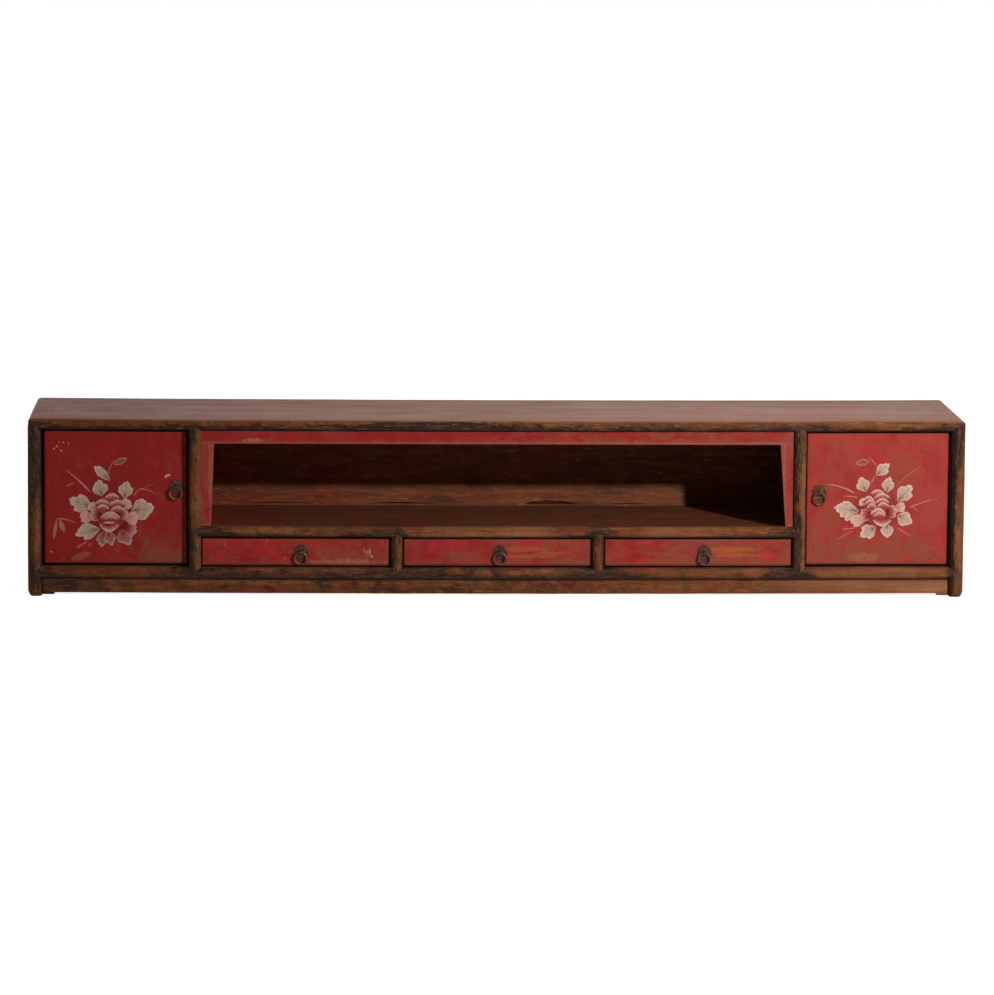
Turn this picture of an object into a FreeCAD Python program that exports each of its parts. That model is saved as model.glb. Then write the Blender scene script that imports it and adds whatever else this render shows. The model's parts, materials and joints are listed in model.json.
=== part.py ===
"""A long low cabinet in the northern Chinese manner.

A post-and-rail frame with rounded faces holds floating panels. Two pivot
doors close the ends, three drawers run under an open niche, and every door
and drawer has a hanging ring pull. Lengths are in millimetres. The origin is
on the floor under the middle, +X to the right, +Z up, the front towards -Y.
"""
import FreeCAD, Part
import math
import os
import re
import Sketcher

SIZES = {
    # Whole cabinet
    "cabinet_width": 2000,
    "cabinet_depth": 400,
    "cabinet_height": 380,
    # Frame members: square corner posts, deep top and bottom front rails
    "corner_stock": 30,
    "rail_depth": 45,
    "top_rail_height": 24,
    "bottom_rail_height": 24.5,
    "floor_gap": 38.5,
    "inner_post_width": 27,
    "divider_width": 26,
    "shelf_rail_height": 24,
    "door_opening_width": 311,
    "drawer_opening_height": 64.5,
    # Rounded faces: how far the crown stands out, and the step from one
    # member back to the next that is scribed over it
    "crown_rise": 8,
    "crown_step_depth": 0.4,
    # Mortise and tenon joints
    "tenon_thickness": 8,
    "tenon_shoulder": 8,
    "long_tenon": 18,
    "short_tenon": 10,
    "tenon_room": 1,
    "mitre_tenon_width": 8,
    "mitre_tenon_near_depth": 9,
    "mitre_tenon_far_depth": 19,
    "mitre_tenon_cover_height": 6,
    # Floating panels
    "panel_tongue": 6,
    "tongue_thickness": 6,
    "panel_play": 0.3,
    "top_panel_thickness": 14,
    "bottom_panel_thickness": 12,
    "bottom_panel_drop": 3,
    "shelf_panel_thickness": 10,
    "shelf_panel_drop": 5,
    "partition_thickness": 15,
    "side_panel_thickness": 12,
    "side_panel_inset": 12,
    "back_plank_thickness": 12,
    "back_plank_inset": 9,
    "lower_plank_height": 88,
    "batten_width": 34,
    # Kick boards under the bottom rails
    "apron_recess": 17,
    "apron_thickness": 12,
    "apron_tongue": 4,
    "apron_low": 6,
    "bracket_low": 1.5,
    "bracket_length": 30,
    # Three-board surround of the niche
    "fascia_recess": 10,
    "fascia_thickness": 10,
    "fascia_top_height": 28,
    "fascia_side_top": 28,
    "left_fascia_bottom": 21,
    "right_fascia_bottom": 15.5,
    "fascia_lip_width": 15,
    "fascia_tongue": 4,
    # Doors
    "door_thickness": 18,
    "door_recess": 22,
    "door_hinge_gap": 1.5,
    "door_lock_gap": 2.5,
    "door_gap_low": 4.5,
    "door_gap_top": 3,
    "peg_radius": 5,
    "peg_length_low": 12,
    "peg_length_top": 10,
    "peg_clearance": 0.3,
    "socket_room": 4.5,
    "door_batten_width": 32,
    "door_batten_proud": 6,
    "dovetail_depth": 6,
    "dovetail_flare": 3,
    "door_batten_end": 14,
    "door_batten_inset": 44,
    "stop_width": 12,
    "stop_clearance": 0.3,
    # Drawers
    "drawer_recess": 14,
    "drawer_front_thickness": 16,
    "drawer_gap": 2,
    "drawer_gap_low": 3,
    "drawer_gap_top": 3.5,
    "drawer_back_gap": 49,
    "drawer_side_thickness": 10,
    "drawer_side_height": 48,
    "drawer_side_set": 1,
    "drawer_lap": 8,
    "drawer_bottom_thickness": 6,
    "drawer_bottom_lift": 5,
    "drawer_groove": 4,
    "slide_clearance": 0.3,
    "runner_width": 20,
    "runner_overlap": 12,
    "guide_height": 26,
    # Ring pulls
    "plate_radius": 15.5,
    "plate_rim": 2.5,
    "plate_thickness": 1.6,
    "ring_radius": 12.75,
    "ring_wire": 4.5,
    "eye_wire": 2.8,
    "eye_play": 0.55,
    "ring_clearance": 0.3,
    "pin_radius": 2,
    "pin_clearance": 0.2,
    "clinch_length": 9,
    "clinch_thickness": 1.5,
    "left_door_pull_edge": 23.5,
    "left_door_pull_rise": 21.75,
    "right_door_pull_edge": 27.5,
    "right_door_pull_rise": 12.75,
    "left_drawer_pull_offset": 11,
    "middle_drawer_pull_offset": 6,
    "right_drawer_pull_offset": 13.5,
    "drawer_pull_drop": 1.5,
    # Cutting tools reach this far past what they cut
    "overrun": 2,
}

doc = FreeCAD.newDocument("LowCabinet")
sheet = doc.addObject("Spreadsheet::Sheet", "Sizes")
for row, (size_name, size) in enumerate(SIZES.items(), start=1):
    sheet.set(f"A{row}", size_name)
    sheet.set(f"B{row}", str(size))
    sheet.setAlias(f"B{row}", size_name)
doc.recompute()

ALIASES = re.compile(r"\b(" + "|".join(SIZES) + r")\b")
X = FreeCAD.Vector(1, 0, 0)
Y = FreeCAD.Vector(0, 1, 0)
Z = FreeCAD.Vector(0, 0, 1)
NODES = {}

# Planes of the frame, as expressions on the sheet; left and front are negative
LEFT = "(0 - cabinet_width / 2)"
FRONT = "(0 - cabinet_depth / 2)"
BACK = "(cabinet_depth / 2)"
TOP = "cabinet_height"
POST_IN = f"({LEFT} + corner_stock)"
FRONT_IN = f"({FRONT} + corner_stock)"
BACK_IN = f"({BACK} - corner_stock)"
RAIL_IN = f"({FRONT} + rail_depth)"
TOP_BACK_IN = f"({BACK} - rail_depth)"
INNER_OUT = f"({POST_IN} + door_opening_width)"
INNER_IN = f"({INNER_OUT} + inner_post_width)"
INNER_MID = f"({INNER_OUT} + inner_post_width / 2)"
RAIL_LOW = "floor_gap"
RAIL_MID = "(floor_gap + bottom_rail_height / 2)"
RAIL_TOP = "(floor_gap + bottom_rail_height)"
SHELF_LOW = f"({RAIL_TOP} + drawer_opening_height)"
SHELF_MID = f"({SHELF_LOW} + shelf_rail_height / 2)"
SHELF_TOP = f"({SHELF_LOW} + shelf_rail_height)"
TOP_LOW = f"({TOP} - top_rail_height)"
TOP_MID = f"({TOP} - top_rail_height / 2)"
PANEL_LOW = f"({TOP} - top_panel_thickness)"
FLOOR_TOP = f"({RAIL_TOP} - bottom_panel_drop)"
SHELF_FLOOR = f"({SHELF_TOP} - shelf_panel_drop)"
BACK_FACE = f"({BACK_IN} + back_plank_inset)"
DRAWER_OPENING = f"((0 - 2 * {INNER_IN} - 2 * divider_width) / 3)"
DRAWER_PITCH = f"({DRAWER_OPENING} + divider_width)"
DIVIDER_MID = f"(0 - {DRAWER_PITCH} / 2)"


def minus(expression):
    """The same distance on the other side of the middle."""
    return f"(0 - {expression})"


def both_sides(expression):
    """The span from a left or front plane to its mirror image."""
    return (expression, minus(expression))


def about(centre, breadth):
    """The span of a breadth about its centre."""
    return (f"({centre} - {breadth} / 2)", f"({centre} + {breadth} / 2)")


def bind(item, name, expression):
    """Tie a property to the sheet."""
    item.setExpression(name, ALIASES.sub(r"Sizes.\1", expression))


def number(expression):
    """The value of an expression now, for a first guess in a sketch."""
    bind(sheet_reader, "Length", expression)
    sheet_reader.recompute()
    return sheet_reader.Length.Value


sheet_reader = doc.addObject("Part::Box", "SheetReader")


def place(item, axes, base):
    """Turn an item's own axes onto three directions and bind its corner."""
    item.Placement = FreeCAD.Placement(FreeCAD.Vector(), FreeCAD.Rotation(*axes, "XYZ"))
    for axis, expression in zip("xyz", base):
        bind(item, f"Placement.Base.{axis}", expression)


def box(name, x, y, z):
    """A box between two planes on each axis."""
    item = doc.addObject("Part::Box", name)
    for side, (low, high) in zip(("Length", "Width", "Height"), (x, y, z)):
        bind(item, side, f"{high} - {low}")
    place(item, (X, Y, Z), (x[0], y[0], z[0]))
    return item


def cylinder(name, along, radius, length, base):
    """A round bar from its base point along an axis."""
    item = doc.addObject("Part::Cylinder", name)
    bind(item, "Radius", radius)
    bind(item, "Height", length)
    across = Y if along.cross(X).Length == 0 else X
    place(item, (across, along.cross(across), along), base)
    return item


def torus(name, axis, centre_radius, wire_radius, centre):
    """A closed ring of round wire about an axis."""
    item = doc.addObject("Part::Torus", name)
    bind(item, "Radius1", centre_radius)
    bind(item, "Radius2", wire_radius)
    across = Y if axis.cross(X).Length == 0 else X
    place(item, (across, axis.cross(across), axis), centre)
    return item


def wedge(name, axes, base, low, high, height, thick):
    """A prism whose first side goes from low to high over its height."""
    item = doc.addObject("Part::Wedge", name)
    edges = {"Xmin": low[0], "Xmax": low[1], "X2min": high[0], "X2max": high[1],
             "Ymin": "0", "Ymax": height,
             "Zmin": "0", "Zmax": thick, "Z2min": "0", "Z2max": thick}
    for edge, expression in edges.items():
        bind(item, edge, expression)
    place(item, axes, base)
    return item


def mitre_tool(name, corner, run_way, fall_way, run, fall, thick):
    """A triangular prism, longer than the cut, with its slope on the mitre line.

    Its right angle is at the corner, its legs go along run_way and fall_way,
    and the slope passes through both leg ends.
    """
    through = run_way.cross(fall_way)
    base = list(corner)
    for way, leg in ((run_way, "overrun"), (fall_way, f"(overrun * {fall} / {run})"), (through, "overrun")):
        index = [part != 0 for part in way].index(True)
        sign = "-" if way[index] > 0 else "+"
        base[index] = f"({base[index]} {sign} {leg})"
    long_run = f"({run} + 2 * overrun)"
    long_fall = f"({fall} + 2 * overrun * {fall} / {run})"
    return wedge(name, (run_way, fall_way, through), base,
                 ("0", long_run), ("0", "0"), long_fall, f"{thick} + 2 * overrun")


def cut(name, base, tools):
    """A piece with the tools' volume taken away."""
    item = doc.addObject("Part::Cut", name)
    item.Base = base
    item.Tool = tools[0] if len(tools) == 1 else fuse(f"{name}_tools", tools)
    return item


def fuse(name, pieces):
    """Pieces grown together into one."""
    item = doc.addObject("Part::MultiFuse", name)
    item.Shapes = pieces
    item.Refine = True
    return item


def common(name, first, second):
    """What two pieces share."""
    item = doc.addObject("Part::Common", name)
    item.Base = first
    item.Tool = second
    return item


def mirrored(name, source, normal=X):
    """A mirror image across the middle."""
    item = doc.addObject("Part::Mirroring", name)
    item.Source = source
    item.Normal = normal
    return item


def pair(name, source, normal=X):
    """A tool on both sides of the middle."""
    return [source, mirrored(f"{name}_mirror", source, normal)]


def group(name, pieces):
    """Separate solids that share a node."""
    item = doc.addObject("Part::Compound", name)
    item.Links = pieces
    return item


def keep(label, item, solids=1):
    """Name a finished sub-part, with the number of solids that it has."""
    item.Label = label
    NODES[label] = (item, solids)
    return item


def crowned_bar(name, facing, along, across, thick, length, base):
    """A square bar with one face rounded to an arc, the face of every member.

    The base is the middle of the crown at one end.
    """
    body = doc.addObject("PartDesign::Body", name)
    section = body.newObject("Sketcher::SketchObject", f"{name}_section")
    plane = [item for item in body.Origin.OriginFeatures if item.Role == "XY_Plane"][0]
    section.AttachmentSupport = (plane, [""])
    section.MapMode = "FlatFace"
    radius = f"(({across}) ^ 2 / 4 + crown_rise ^ 2) / (2 * crown_rise)"
    half = number(across) / 2
    rise = number("crown_rise")
    deep = number(thick)
    reach = number(radius)
    swing = math.asin(half / reach)
    circle = Part.Circle(FreeCAD.Vector(0, reach, 0), Z, reach)
    section.addGeometry(Part.ArcOfCircle(circle, -math.pi / 2 - swing, -math.pi / 2 + swing), False)
    corners = [FreeCAD.Vector(half, rise, 0), FreeCAD.Vector(half, deep, 0),
               FreeCAD.Vector(-half, deep, 0), FreeCAD.Vector(-half, rise, 0)]
    for start, end in zip(corners, corners[1:]):
        section.addGeometry(Part.LineSegment(start, end), False)
    crown, right, back, left = range(4)
    section.addConstraint([
        Sketcher.Constraint("Coincident", crown, 2, right, 1),
        Sketcher.Constraint("Coincident", right, 2, back, 1),
        Sketcher.Constraint("Coincident", back, 2, left, 1),
        Sketcher.Constraint("Coincident", left, 2, crown, 1),
        Sketcher.Constraint("Vertical", right),
        Sketcher.Constraint("Horizontal", back),
        Sketcher.Constraint("Vertical", left),
        Sketcher.Constraint("Symmetric", crown, 1, crown, 2, -2),
    ])
    sized = [
        (Sketcher.Constraint("DistanceX", crown, 1, crown, 2, 2 * half), across),
        (Sketcher.Constraint("DistanceY", -1, 1, crown, 1, rise), "crown_rise"),
        (Sketcher.Constraint("DistanceY", right, 1, right, 2, deep - rise), f"{thick} - crown_rise"),
        (Sketcher.Constraint("Radius", crown, reach), radius),
    ]
    for constraint, expression in sized:
        bind(section, f"Constraints[{section.addConstraint(constraint)}]", expression)
    pad = body.newObject("PartDesign::Pad", f"{name}_pad")
    pad.Profile = section
    bind(pad, "Length", length)
    inward = -facing
    place(body, (inward.cross(along), inward, along), base)
    return body


def step(count):
    """How far a member's crown lies behind the corner posts' crowns."""
    return f"({count} * crown_step_depth)"


# Corner posts, rounded on both outer faces and mitred three ways at the top
corner_front = crowned_bar("corner_front_crown", -Y, Z, "corner_stock", "corner_stock", TOP,
                           (f"({LEFT} + corner_stock / 2)", FRONT, "0"))
corner_side = crowned_bar("corner_side_crown", -X, Z, "corner_stock", "corner_stock", TOP,
                          (LEFT, f"({FRONT} + corner_stock / 2)", "0"))
corner_bar = common("corner_bar", corner_front, corner_side)
post_mitres = [
    mitre_tool("post_front_mitre", (POST_IN, FRONT_IN, TOP), -X, -Z,
               "corner_stock", "top_rail_height", "corner_stock"),
    mitre_tool("post_side_mitre", (LEFT, FRONT_IN, TOP), -Y, -Z,
               "corner_stock", "top_rail_height", "corner_stock"),
]
near_tenon = ("mitre_tenon_near_depth", "(mitre_tenon_near_depth + mitre_tenon_width)")
far_tenon = ("mitre_tenon_far_depth", "(mitre_tenon_far_depth + mitre_tenon_width)")
tenon_rise = (TOP_LOW, f"({TOP} - mitre_tenon_cover_height)")


def inside(plane, span):
    """A span measured inwards from an outer plane."""
    return tuple(f"({plane} + {edge})" for edge in span)


mitre_tenons = [
    box("front_rail_mitre_tenon", inside(LEFT, far_tenon), inside(FRONT, near_tenon), tenon_rise),
    box("end_rail_mitre_tenon", inside(LEFT, near_tenon), inside(FRONT, far_tenon), tenon_rise),
]
post_top = fuse("corner_post_blank", [cut("corner_post_mitred", corner_bar, post_mitres), *mitre_tenons])
corner_waste = cut("corner_waste", box("corner_waste_block", inside(LEFT, ("0", "corner_stock / 2")),
                                       inside(FRONT, ("0", "corner_stock / 2")), (TOP_LOW, TOP)),
                   [corner_bar])

# Floating top panel in its grooves, with cross battens underneath
top_tongue_span = (both_sides(f"({LEFT} + rail_depth - panel_tongue)"),
                   both_sides(f"({FRONT} + rail_depth - panel_tongue)"))
top_tongue = box("top_panel_tongue", *top_tongue_span, (PANEL_LOW, f"({PANEL_LOW} + tongue_thickness)"))
top_field = box("top_panel_field", both_sides(f"({LEFT} + rail_depth + panel_play)"),
                both_sides(f"({RAIL_IN} + panel_play)"), (PANEL_LOW, TOP))
keep("top_panel", fuse("top_panel_board", [top_field, top_tongue]))
top_battens = []
batten_tenons = []
top_batten_shares = (-0.8, -0.4, 0, 0.4, 0.8)
for index, share in enumerate(top_batten_shares):
    middle = f"({share} * {minus(LEFT)})"
    bar = box(f"top_batten_bar_{index}", about(middle, "batten_width"), both_sides(RAIL_IN),
              (TOP_LOW, PANEL_LOW))
    stub = box(f"top_batten_stub_{index}", about(middle, "batten_width / 2"),
               both_sides(f"({RAIL_IN} - panel_tongue)"),
               about(f"({TOP_LOW} / 2 + {PANEL_LOW} / 2)", "tongue_thickness"))
    batten_tenons.append(stub)
    top_battens.append(fuse(f"top_batten_{index}", [bar, stub]))
keep("top_battens", group("top_batten_group", top_battens), len(top_battens))

# Bare bars of the front frame, each scribed over the member that it meets
top_bar = crowned_bar("top_front_bar", -Y, X, "top_rail_height", "rail_depth", "cabinet_width",
                      (LEFT, FRONT, TOP_MID))
bottom_bar = crowned_bar("bottom_front_bar", -Y, X, "bottom_rail_height", f"(corner_stock - {step(1)})",
                         "(cabinet_width - corner_stock)",
                         (f"({LEFT} + corner_stock / 2)", f"({FRONT} + {step(1)})", RAIL_MID))
inner_bar = crowned_bar("inner_post_bar", -Y, Z, "inner_post_width", f"(corner_stock - {step(2)})",
                        f"({TOP_MID} - {RAIL_MID})", (INNER_MID, f"({FRONT} + {step(2)})", RAIL_MID))
shelf_bar = crowned_bar("shelf_rail_bar", -Y, X, "shelf_rail_height", f"(corner_stock - {step(3)})",
                        f"(0 - 2 * {INNER_MID})", (INNER_MID, f"({FRONT} + {step(3)})", SHELF_MID))
divider_bar = crowned_bar("divider_bar", -Y, Z, "divider_width", f"(corner_stock - {step(4)})",
                          f"({SHELF_MID} - {RAIL_MID})", (DIVIDER_MID, f"({FRONT} + {step(4)})", RAIL_MID))

# Tenons of the front frame and the mortises that they fill
tenon_depth = about(f"({FRONT} + corner_stock / 2)", "tenon_thickness")


def shouldered(low, high):
    """A tenon's breadth between its two shoulders."""
    return (f"({low} + tenon_shoulder)", f"({high} - tenon_shoulder)")


def tenon_and_mortise(name, x, y, z, way, deeper):
    """A tenon, and the same block with room at its end for the mortise."""
    tenon = box(f"{name}_tenon", x, y, z)
    roomy = {"x": x, "y": y, "z": z}
    low, high = roomy[way]
    roomy[way] = (f"({low} - tenon_room)", high) if deeper < 0 else (low, f"({high} + tenon_room)")
    return tenon, box(f"{name}_mortise", roomy["x"], roomy["y"], roomy["z"])


rail_tenon, rail_mortise = tenon_and_mortise(
    "bottom_rail", (f"({POST_IN} - long_tenon)", POST_IN), tenon_depth,
    shouldered(RAIL_LOW, RAIL_TOP), "x", -1)
inner_foot, inner_foot_mortise = tenon_and_mortise(
    "inner_post_foot", shouldered(INNER_OUT, INNER_IN), tenon_depth,
    (f"({RAIL_TOP} - long_tenon)", RAIL_TOP), "z", -1)
inner_head, inner_head_mortise = tenon_and_mortise(
    "inner_post_head", shouldered(INNER_OUT, INNER_IN), tenon_depth,
    (TOP_LOW, f"({TOP_LOW} + short_tenon)"), "z", 1)
shelf_tenon, shelf_mortise = tenon_and_mortise(
    "shelf_rail", (f"({INNER_IN} - long_tenon)", INNER_IN), tenon_depth,
    shouldered(SHELF_LOW, SHELF_TOP), "x", -1)
divider_edges = about(DIVIDER_MID, "divider_width")
divider_foot, divider_foot_mortise = tenon_and_mortise(
    "divider_foot", shouldered(*divider_edges), tenon_depth,
    (f"({RAIL_TOP} - short_tenon)", RAIL_TOP), "z", -1)
divider_head, divider_head_mortise = tenon_and_mortise(
    "divider_head", shouldered(*divider_edges), tenon_depth,
    (SHELF_LOW, f"({SHELF_LOW} + short_tenon)"), "z", 1)

# Side panels, back planks, floor panel and partitions that sit in grooves
side_board = keep("left_side_panel", box(
    "side_panel_board",
    inside(LEFT, ("side_panel_inset", "(side_panel_inset + side_panel_thickness)")),
    both_sides(f"({FRONT_IN} - panel_tongue)"),
    (f"({RAIL_TOP} - panel_tongue)", f"({TOP_LOW} + panel_tongue)")))
keep("right_side_panel", mirrored("right_side_board", side_board))
plank_y = (BACK_FACE, f"({BACK_FACE} + back_plank_thickness)")
plank_x = both_sides(f"({POST_IN} - panel_tongue)")
plank_seam = f"({RAIL_TOP} + lower_plank_height)"
lower_plank = box("lower_back_plank", plank_x, plank_y, (f"({RAIL_TOP} - panel_tongue)", plank_seam))
upper_plank = box("upper_back_plank", plank_x, plank_y, (plank_seam, f"({TOP_LOW} + panel_tongue)"))
keep("back_planks", group("back_plank_group", [lower_plank, upper_plank]), 2)

floor_board = box("bottom_board", both_sides(f"({POST_IN} - panel_tongue)"),
                  (f"({RAIL_IN} - panel_tongue)", f"({BACK_IN} + panel_tongue)"),
                  (f"({FLOOR_TOP} - bottom_panel_thickness)", FLOOR_TOP))
back_corner = box("back_corner_notch", (f"({LEFT} - overrun)", POST_IN), (BACK_IN, f"({BACK} + overrun)"),
                  (RAIL_LOW, RAIL_TOP))
keep("bottom_panel", cut("bottom_panel_board", floor_board, pair("back_corner_notch", back_corner)))

partition_x = about(INNER_MID, "partition_thickness")
partition_web = box("partition_web", partition_x, (f"({FRONT_IN} - panel_tongue)", BACK_FACE),
                    (RAIL_TOP, TOP_LOW))
partition_full = box("partition_full_height", partition_x, (RAIL_IN, TOP_BACK_IN), (FLOOR_TOP, PANEL_LOW))
shelf_z = (f"({SHELF_FLOOR} - shelf_panel_thickness)", SHELF_FLOOR)
shelf_board = box("shelf_board", both_sides(f"({partition_x[1]} - panel_tongue)"), (FRONT_IN, BACK_FACE),
                  shelf_z)
shelf_lip = box("shelf_board_tongue", both_sides(INNER_IN), (f"({FRONT_IN} - panel_tongue)", FRONT_IN),
                shelf_z)
keep("shelf_panel", fuse("shelf_panel_board", [shelf_board, shelf_lip]))
partition_blank = fuse("partition_board", [partition_web, partition_full])
partition = keep("left_partition", cut("partition_housed", partition_blank, [shelf_board]))
keep("right_partition", mirrored("right_partition_board", partition))

# Kick boards with a small bracket drop at each end
apron_z = ("apron_low", f"({RAIL_LOW} + apron_tongue)")


def apron(name, long_way, span, thick_span):
    """A kick board from span end to span end, with scooped brackets."""
    turned = long_way == "y"
    low, high = span

    def part(label, along, z):
        x, y = (thick_span, along) if turned else (along, thick_span)
        return box(f"{name}_{label}", x, y, z)

    pieces = [part("board", span, apron_z)]
    for label, outer, inner in (("low_end", low, f"({low} + bracket_length)"),
                                ("high_end", f"({high} - bracket_length)", high)):
        scoop_at = inner if label == "low_end" else outer
        block = part(f"{label}_block", (outer, inner), ("bracket_low", "apron_low"))
        depth = f"({thick_span[1]} - {thick_span[0]} + 2 * overrun)"
        start = f"({thick_span[0]} - overrun)"
        base = (start, scoop_at, "bracket_low") if turned else (scoop_at, start, "bracket_low")
        scoop = cylinder(f"{name}_{label}_scoop", X if turned else Y, "(apron_low - bracket_low)", depth,
                         base)
        pieces.append(cut(f"{name}_{label}", block, [scoop]))
    return fuse(name, pieces)


apron_inset = ("apron_recess", "(apron_recess + apron_thickness)")
front_apron = apron("front_apron_board", "x", both_sides(POST_IN), inside(FRONT, apron_inset))
keep("front_apron", front_apron)
end_apron = apron("end_apron_board", "y", both_sides(FRONT_IN), inside(LEFT, apron_inset))
keep("end_aprons", group("end_apron_group", pair("end_apron", end_apron)), 2)

# Surround of the niche: a top board and two side boards that widen upwards
fascia_y = inside(FRONT, ("fascia_recess", "(fascia_recess + fascia_thickness)"))
fascia_low = f"({TOP_LOW} - fascia_top_height)"
fascia_slot_y = about(f"({FRONT} + fascia_recess + fascia_thickness / 2)", "fascia_thickness / 2")
fascia_lip = box("fascia_side_lip", (INNER_IN, f"({INNER_IN} + fascia_lip_width)"), fascia_slot_y,
                 (fascia_low, f"({fascia_low} + fascia_tongue)"))
left_fascia_blank, right_fascia_blank = [
    wedge(f"{side}_fascia_blank", (X, Z, -Y), (f"({INNER_IN} - fascia_tongue)", fascia_y[1], SHELF_TOP),
          ("0", f"(fascia_tongue + {side}_fascia_bottom)"), ("0", "(fascia_tongue + fascia_side_top)"),
          f"({fascia_low} - {SHELF_TOP})", "fascia_thickness")
    for side in ("left", "right")]
keep("niche_left_fascia", fuse("left_fascia_board", [left_fascia_blank, fascia_lip]))
right_fascia = fuse("right_fascia_unturned", [right_fascia_blank, fascia_lip])
keep("niche_right_fascia", mirrored("right_fascia_board", right_fascia))
fascia_top = box("fascia_top_blank", both_sides(f"({INNER_IN} - fascia_tongue)"), fascia_y,
                 (fascia_low, f"({TOP_LOW} + fascia_tongue)"))
fascia_over_posts = box("fascia_top_notch", (f"({INNER_IN} - fascia_tongue - overrun)", INNER_IN), fascia_y,
                        (TOP_LOW, f"({TOP_LOW} + fascia_tongue + overrun)"))
keep("niche_top_fascia", cut("fascia_top_board", fascia_top,
                             [*pair("fascia_lip", fascia_lip), *pair("fascia_notch", fascia_over_posts)]))

# Door pivots, as sockets in the top and bottom rails
HINGE_X = f"({POST_IN} + door_hinge_gap + door_thickness / 2)"
LOCK_X = f"({INNER_OUT} - door_lock_gap)"
DOOR_FRONT = f"({FRONT} + door_recess)"
DOOR_MID = f"({DOOR_FRONT} + door_thickness / 2)"
DOOR_BACK = f"({DOOR_FRONT} + door_thickness)"
DOOR_LOW = f"({RAIL_TOP} + door_gap_low)"
DOOR_TOP = f"({TOP_LOW} - door_gap_top)"
socket_low = cylinder("pivot_socket_low", Z, "(peg_radius + peg_clearance)", "(peg_length_low + overrun)",
                      (HINGE_X, DOOR_MID, f"({RAIL_TOP} - peg_length_low)"))
socket_top = cylinder("pivot_socket_top", Z, "(peg_radius + peg_clearance)",
                      "(peg_length_top + socket_room + overrun)",
                      (HINGE_X, DOOR_MID, f"({TOP_LOW} - overrun)"))

# Top frame
rail_mitres = [
    mitre_tool("rail_front_mitre", (LEFT, f"({FRONT} + rail_depth)", TOP_LOW), X, Z,
               "corner_stock", "top_rail_height", "rail_depth"),
    mitre_tool("rail_plan_mitre", (LEFT, RAIL_IN, TOP), X, -Y,
               "rail_depth", "rail_depth", "top_rail_height"),
]
end_mitres = [
    mitre_tool("end_side_mitre", (LEFT, FRONT, TOP_LOW), Y, Z,
               "corner_stock", "top_rail_height", "rail_depth"),
    mitre_tool("end_plan_mitre", (f"({LEFT} + rail_depth)", FRONT, TOP), -X, Y,
               "rail_depth", "rail_depth", "top_rail_height"),
]
front_corner_tools = []
for index, tool in enumerate([*rail_mitres, corner_waste, *mitre_tenons[:1]]):
    front_corner_tools += pair(f"front_corner_tool_{index}", tool)
top_front_blank = cut("top_front_blank", top_bar, front_corner_tools)
top_back_blank = mirrored("top_back_blank", top_front_blank, Y)
plank_groove = box("back_plank_groove", plank_x, plank_y, (TOP_LOW, f"({TOP_LOW} + panel_tongue)"))
keep("top_front_rail", cut("top_front_rail_bar", top_front_blank, [
    top_tongue, *batten_tenons, fascia_top,
    *pair("socket_top", socket_top), *pair("inner_head_mortise", inner_head_mortise)]))
keep("top_back_rail", cut("top_back_rail_bar", top_back_blank, [top_tongue, *batten_tenons, plank_groove]))
end_bar = crowned_bar("top_end_bar", -X, Y, "top_rail_height", "rail_depth", "cabinet_depth",
                      (LEFT, FRONT, TOP_MID))
end_corner_tools = []
for index, tool in enumerate([*end_mitres, corner_waste, *mitre_tenons[1:]]):
    end_corner_tools += pair(f"end_corner_tool_{index}", tool, Y)
top_left_rail = keep("top_left_rail", cut("top_end_rail_bar", end_bar,
                                          [*end_corner_tools, top_tongue, side_board]))
keep("top_right_rail", mirrored("top_right_rail_bar", top_left_rail))

# Bottom frame
bottom_scribed = cut("bottom_rail_scribed", bottom_bar, pair("corner_bar", corner_bar))
bottom_heel = box("bottom_rail_heel", both_sides(POST_IN), (FRONT_IN, RAIL_IN), (RAIL_LOW, RAIL_TOP))
bottom_blank = fuse("bottom_rail_blank", [bottom_scribed, bottom_heel, *pair("rail_tenon", rail_tenon)])
keep("bottom_front_rail", cut("bottom_front_rail_bar", bottom_blank, [
    floor_board, front_apron, *pair("socket_low", socket_low),
    *pair("inner_foot_mortise", inner_foot_mortise), *pair("divider_foot_mortise", divider_foot_mortise)]))
back_rail = box("bottom_back_block", both_sides(POST_IN), (BACK_IN, BACK), (RAIL_LOW, RAIL_TOP))
back_tenon = mirrored("bottom_back_tenon", rail_tenon, Y)
keep("bottom_back_rail", cut("bottom_back_rail_bar",
                             fuse("bottom_back_blank", [back_rail, *pair("back_tenon", back_tenon)]),
                             [floor_board, lower_plank]))
bottom_end_bar = crowned_bar("bottom_end_bar", -X, Y, "bottom_rail_height", f"(corner_stock - {step(1)})",
                             "(cabinet_depth - corner_stock)",
                             (f"({LEFT} + {step(1)})", f"({FRONT} + corner_stock / 2)", RAIL_MID))
end_tenon, end_mortise = tenon_and_mortise(
    "end_rail", about(f"({LEFT} + corner_stock / 2)", "tenon_thickness"),
    (f"({FRONT_IN} - short_tenon)", FRONT_IN), shouldered(RAIL_LOW, RAIL_TOP), "y", -1)
end_scribed = cut("bottom_end_scribed", bottom_end_bar, pair("corner_bar_back", corner_bar, Y))
end_blank = fuse("bottom_end_blank", [end_scribed, *pair("end_tenon", end_tenon, Y)])
bottom_end_rail = cut("bottom_end_rail_bar", end_blank, [floor_board, side_board, end_apron])
keep("bottom_end_rails", group("bottom_end_rail_group", pair("bottom_end_rail", bottom_end_rail)), 2)

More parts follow.
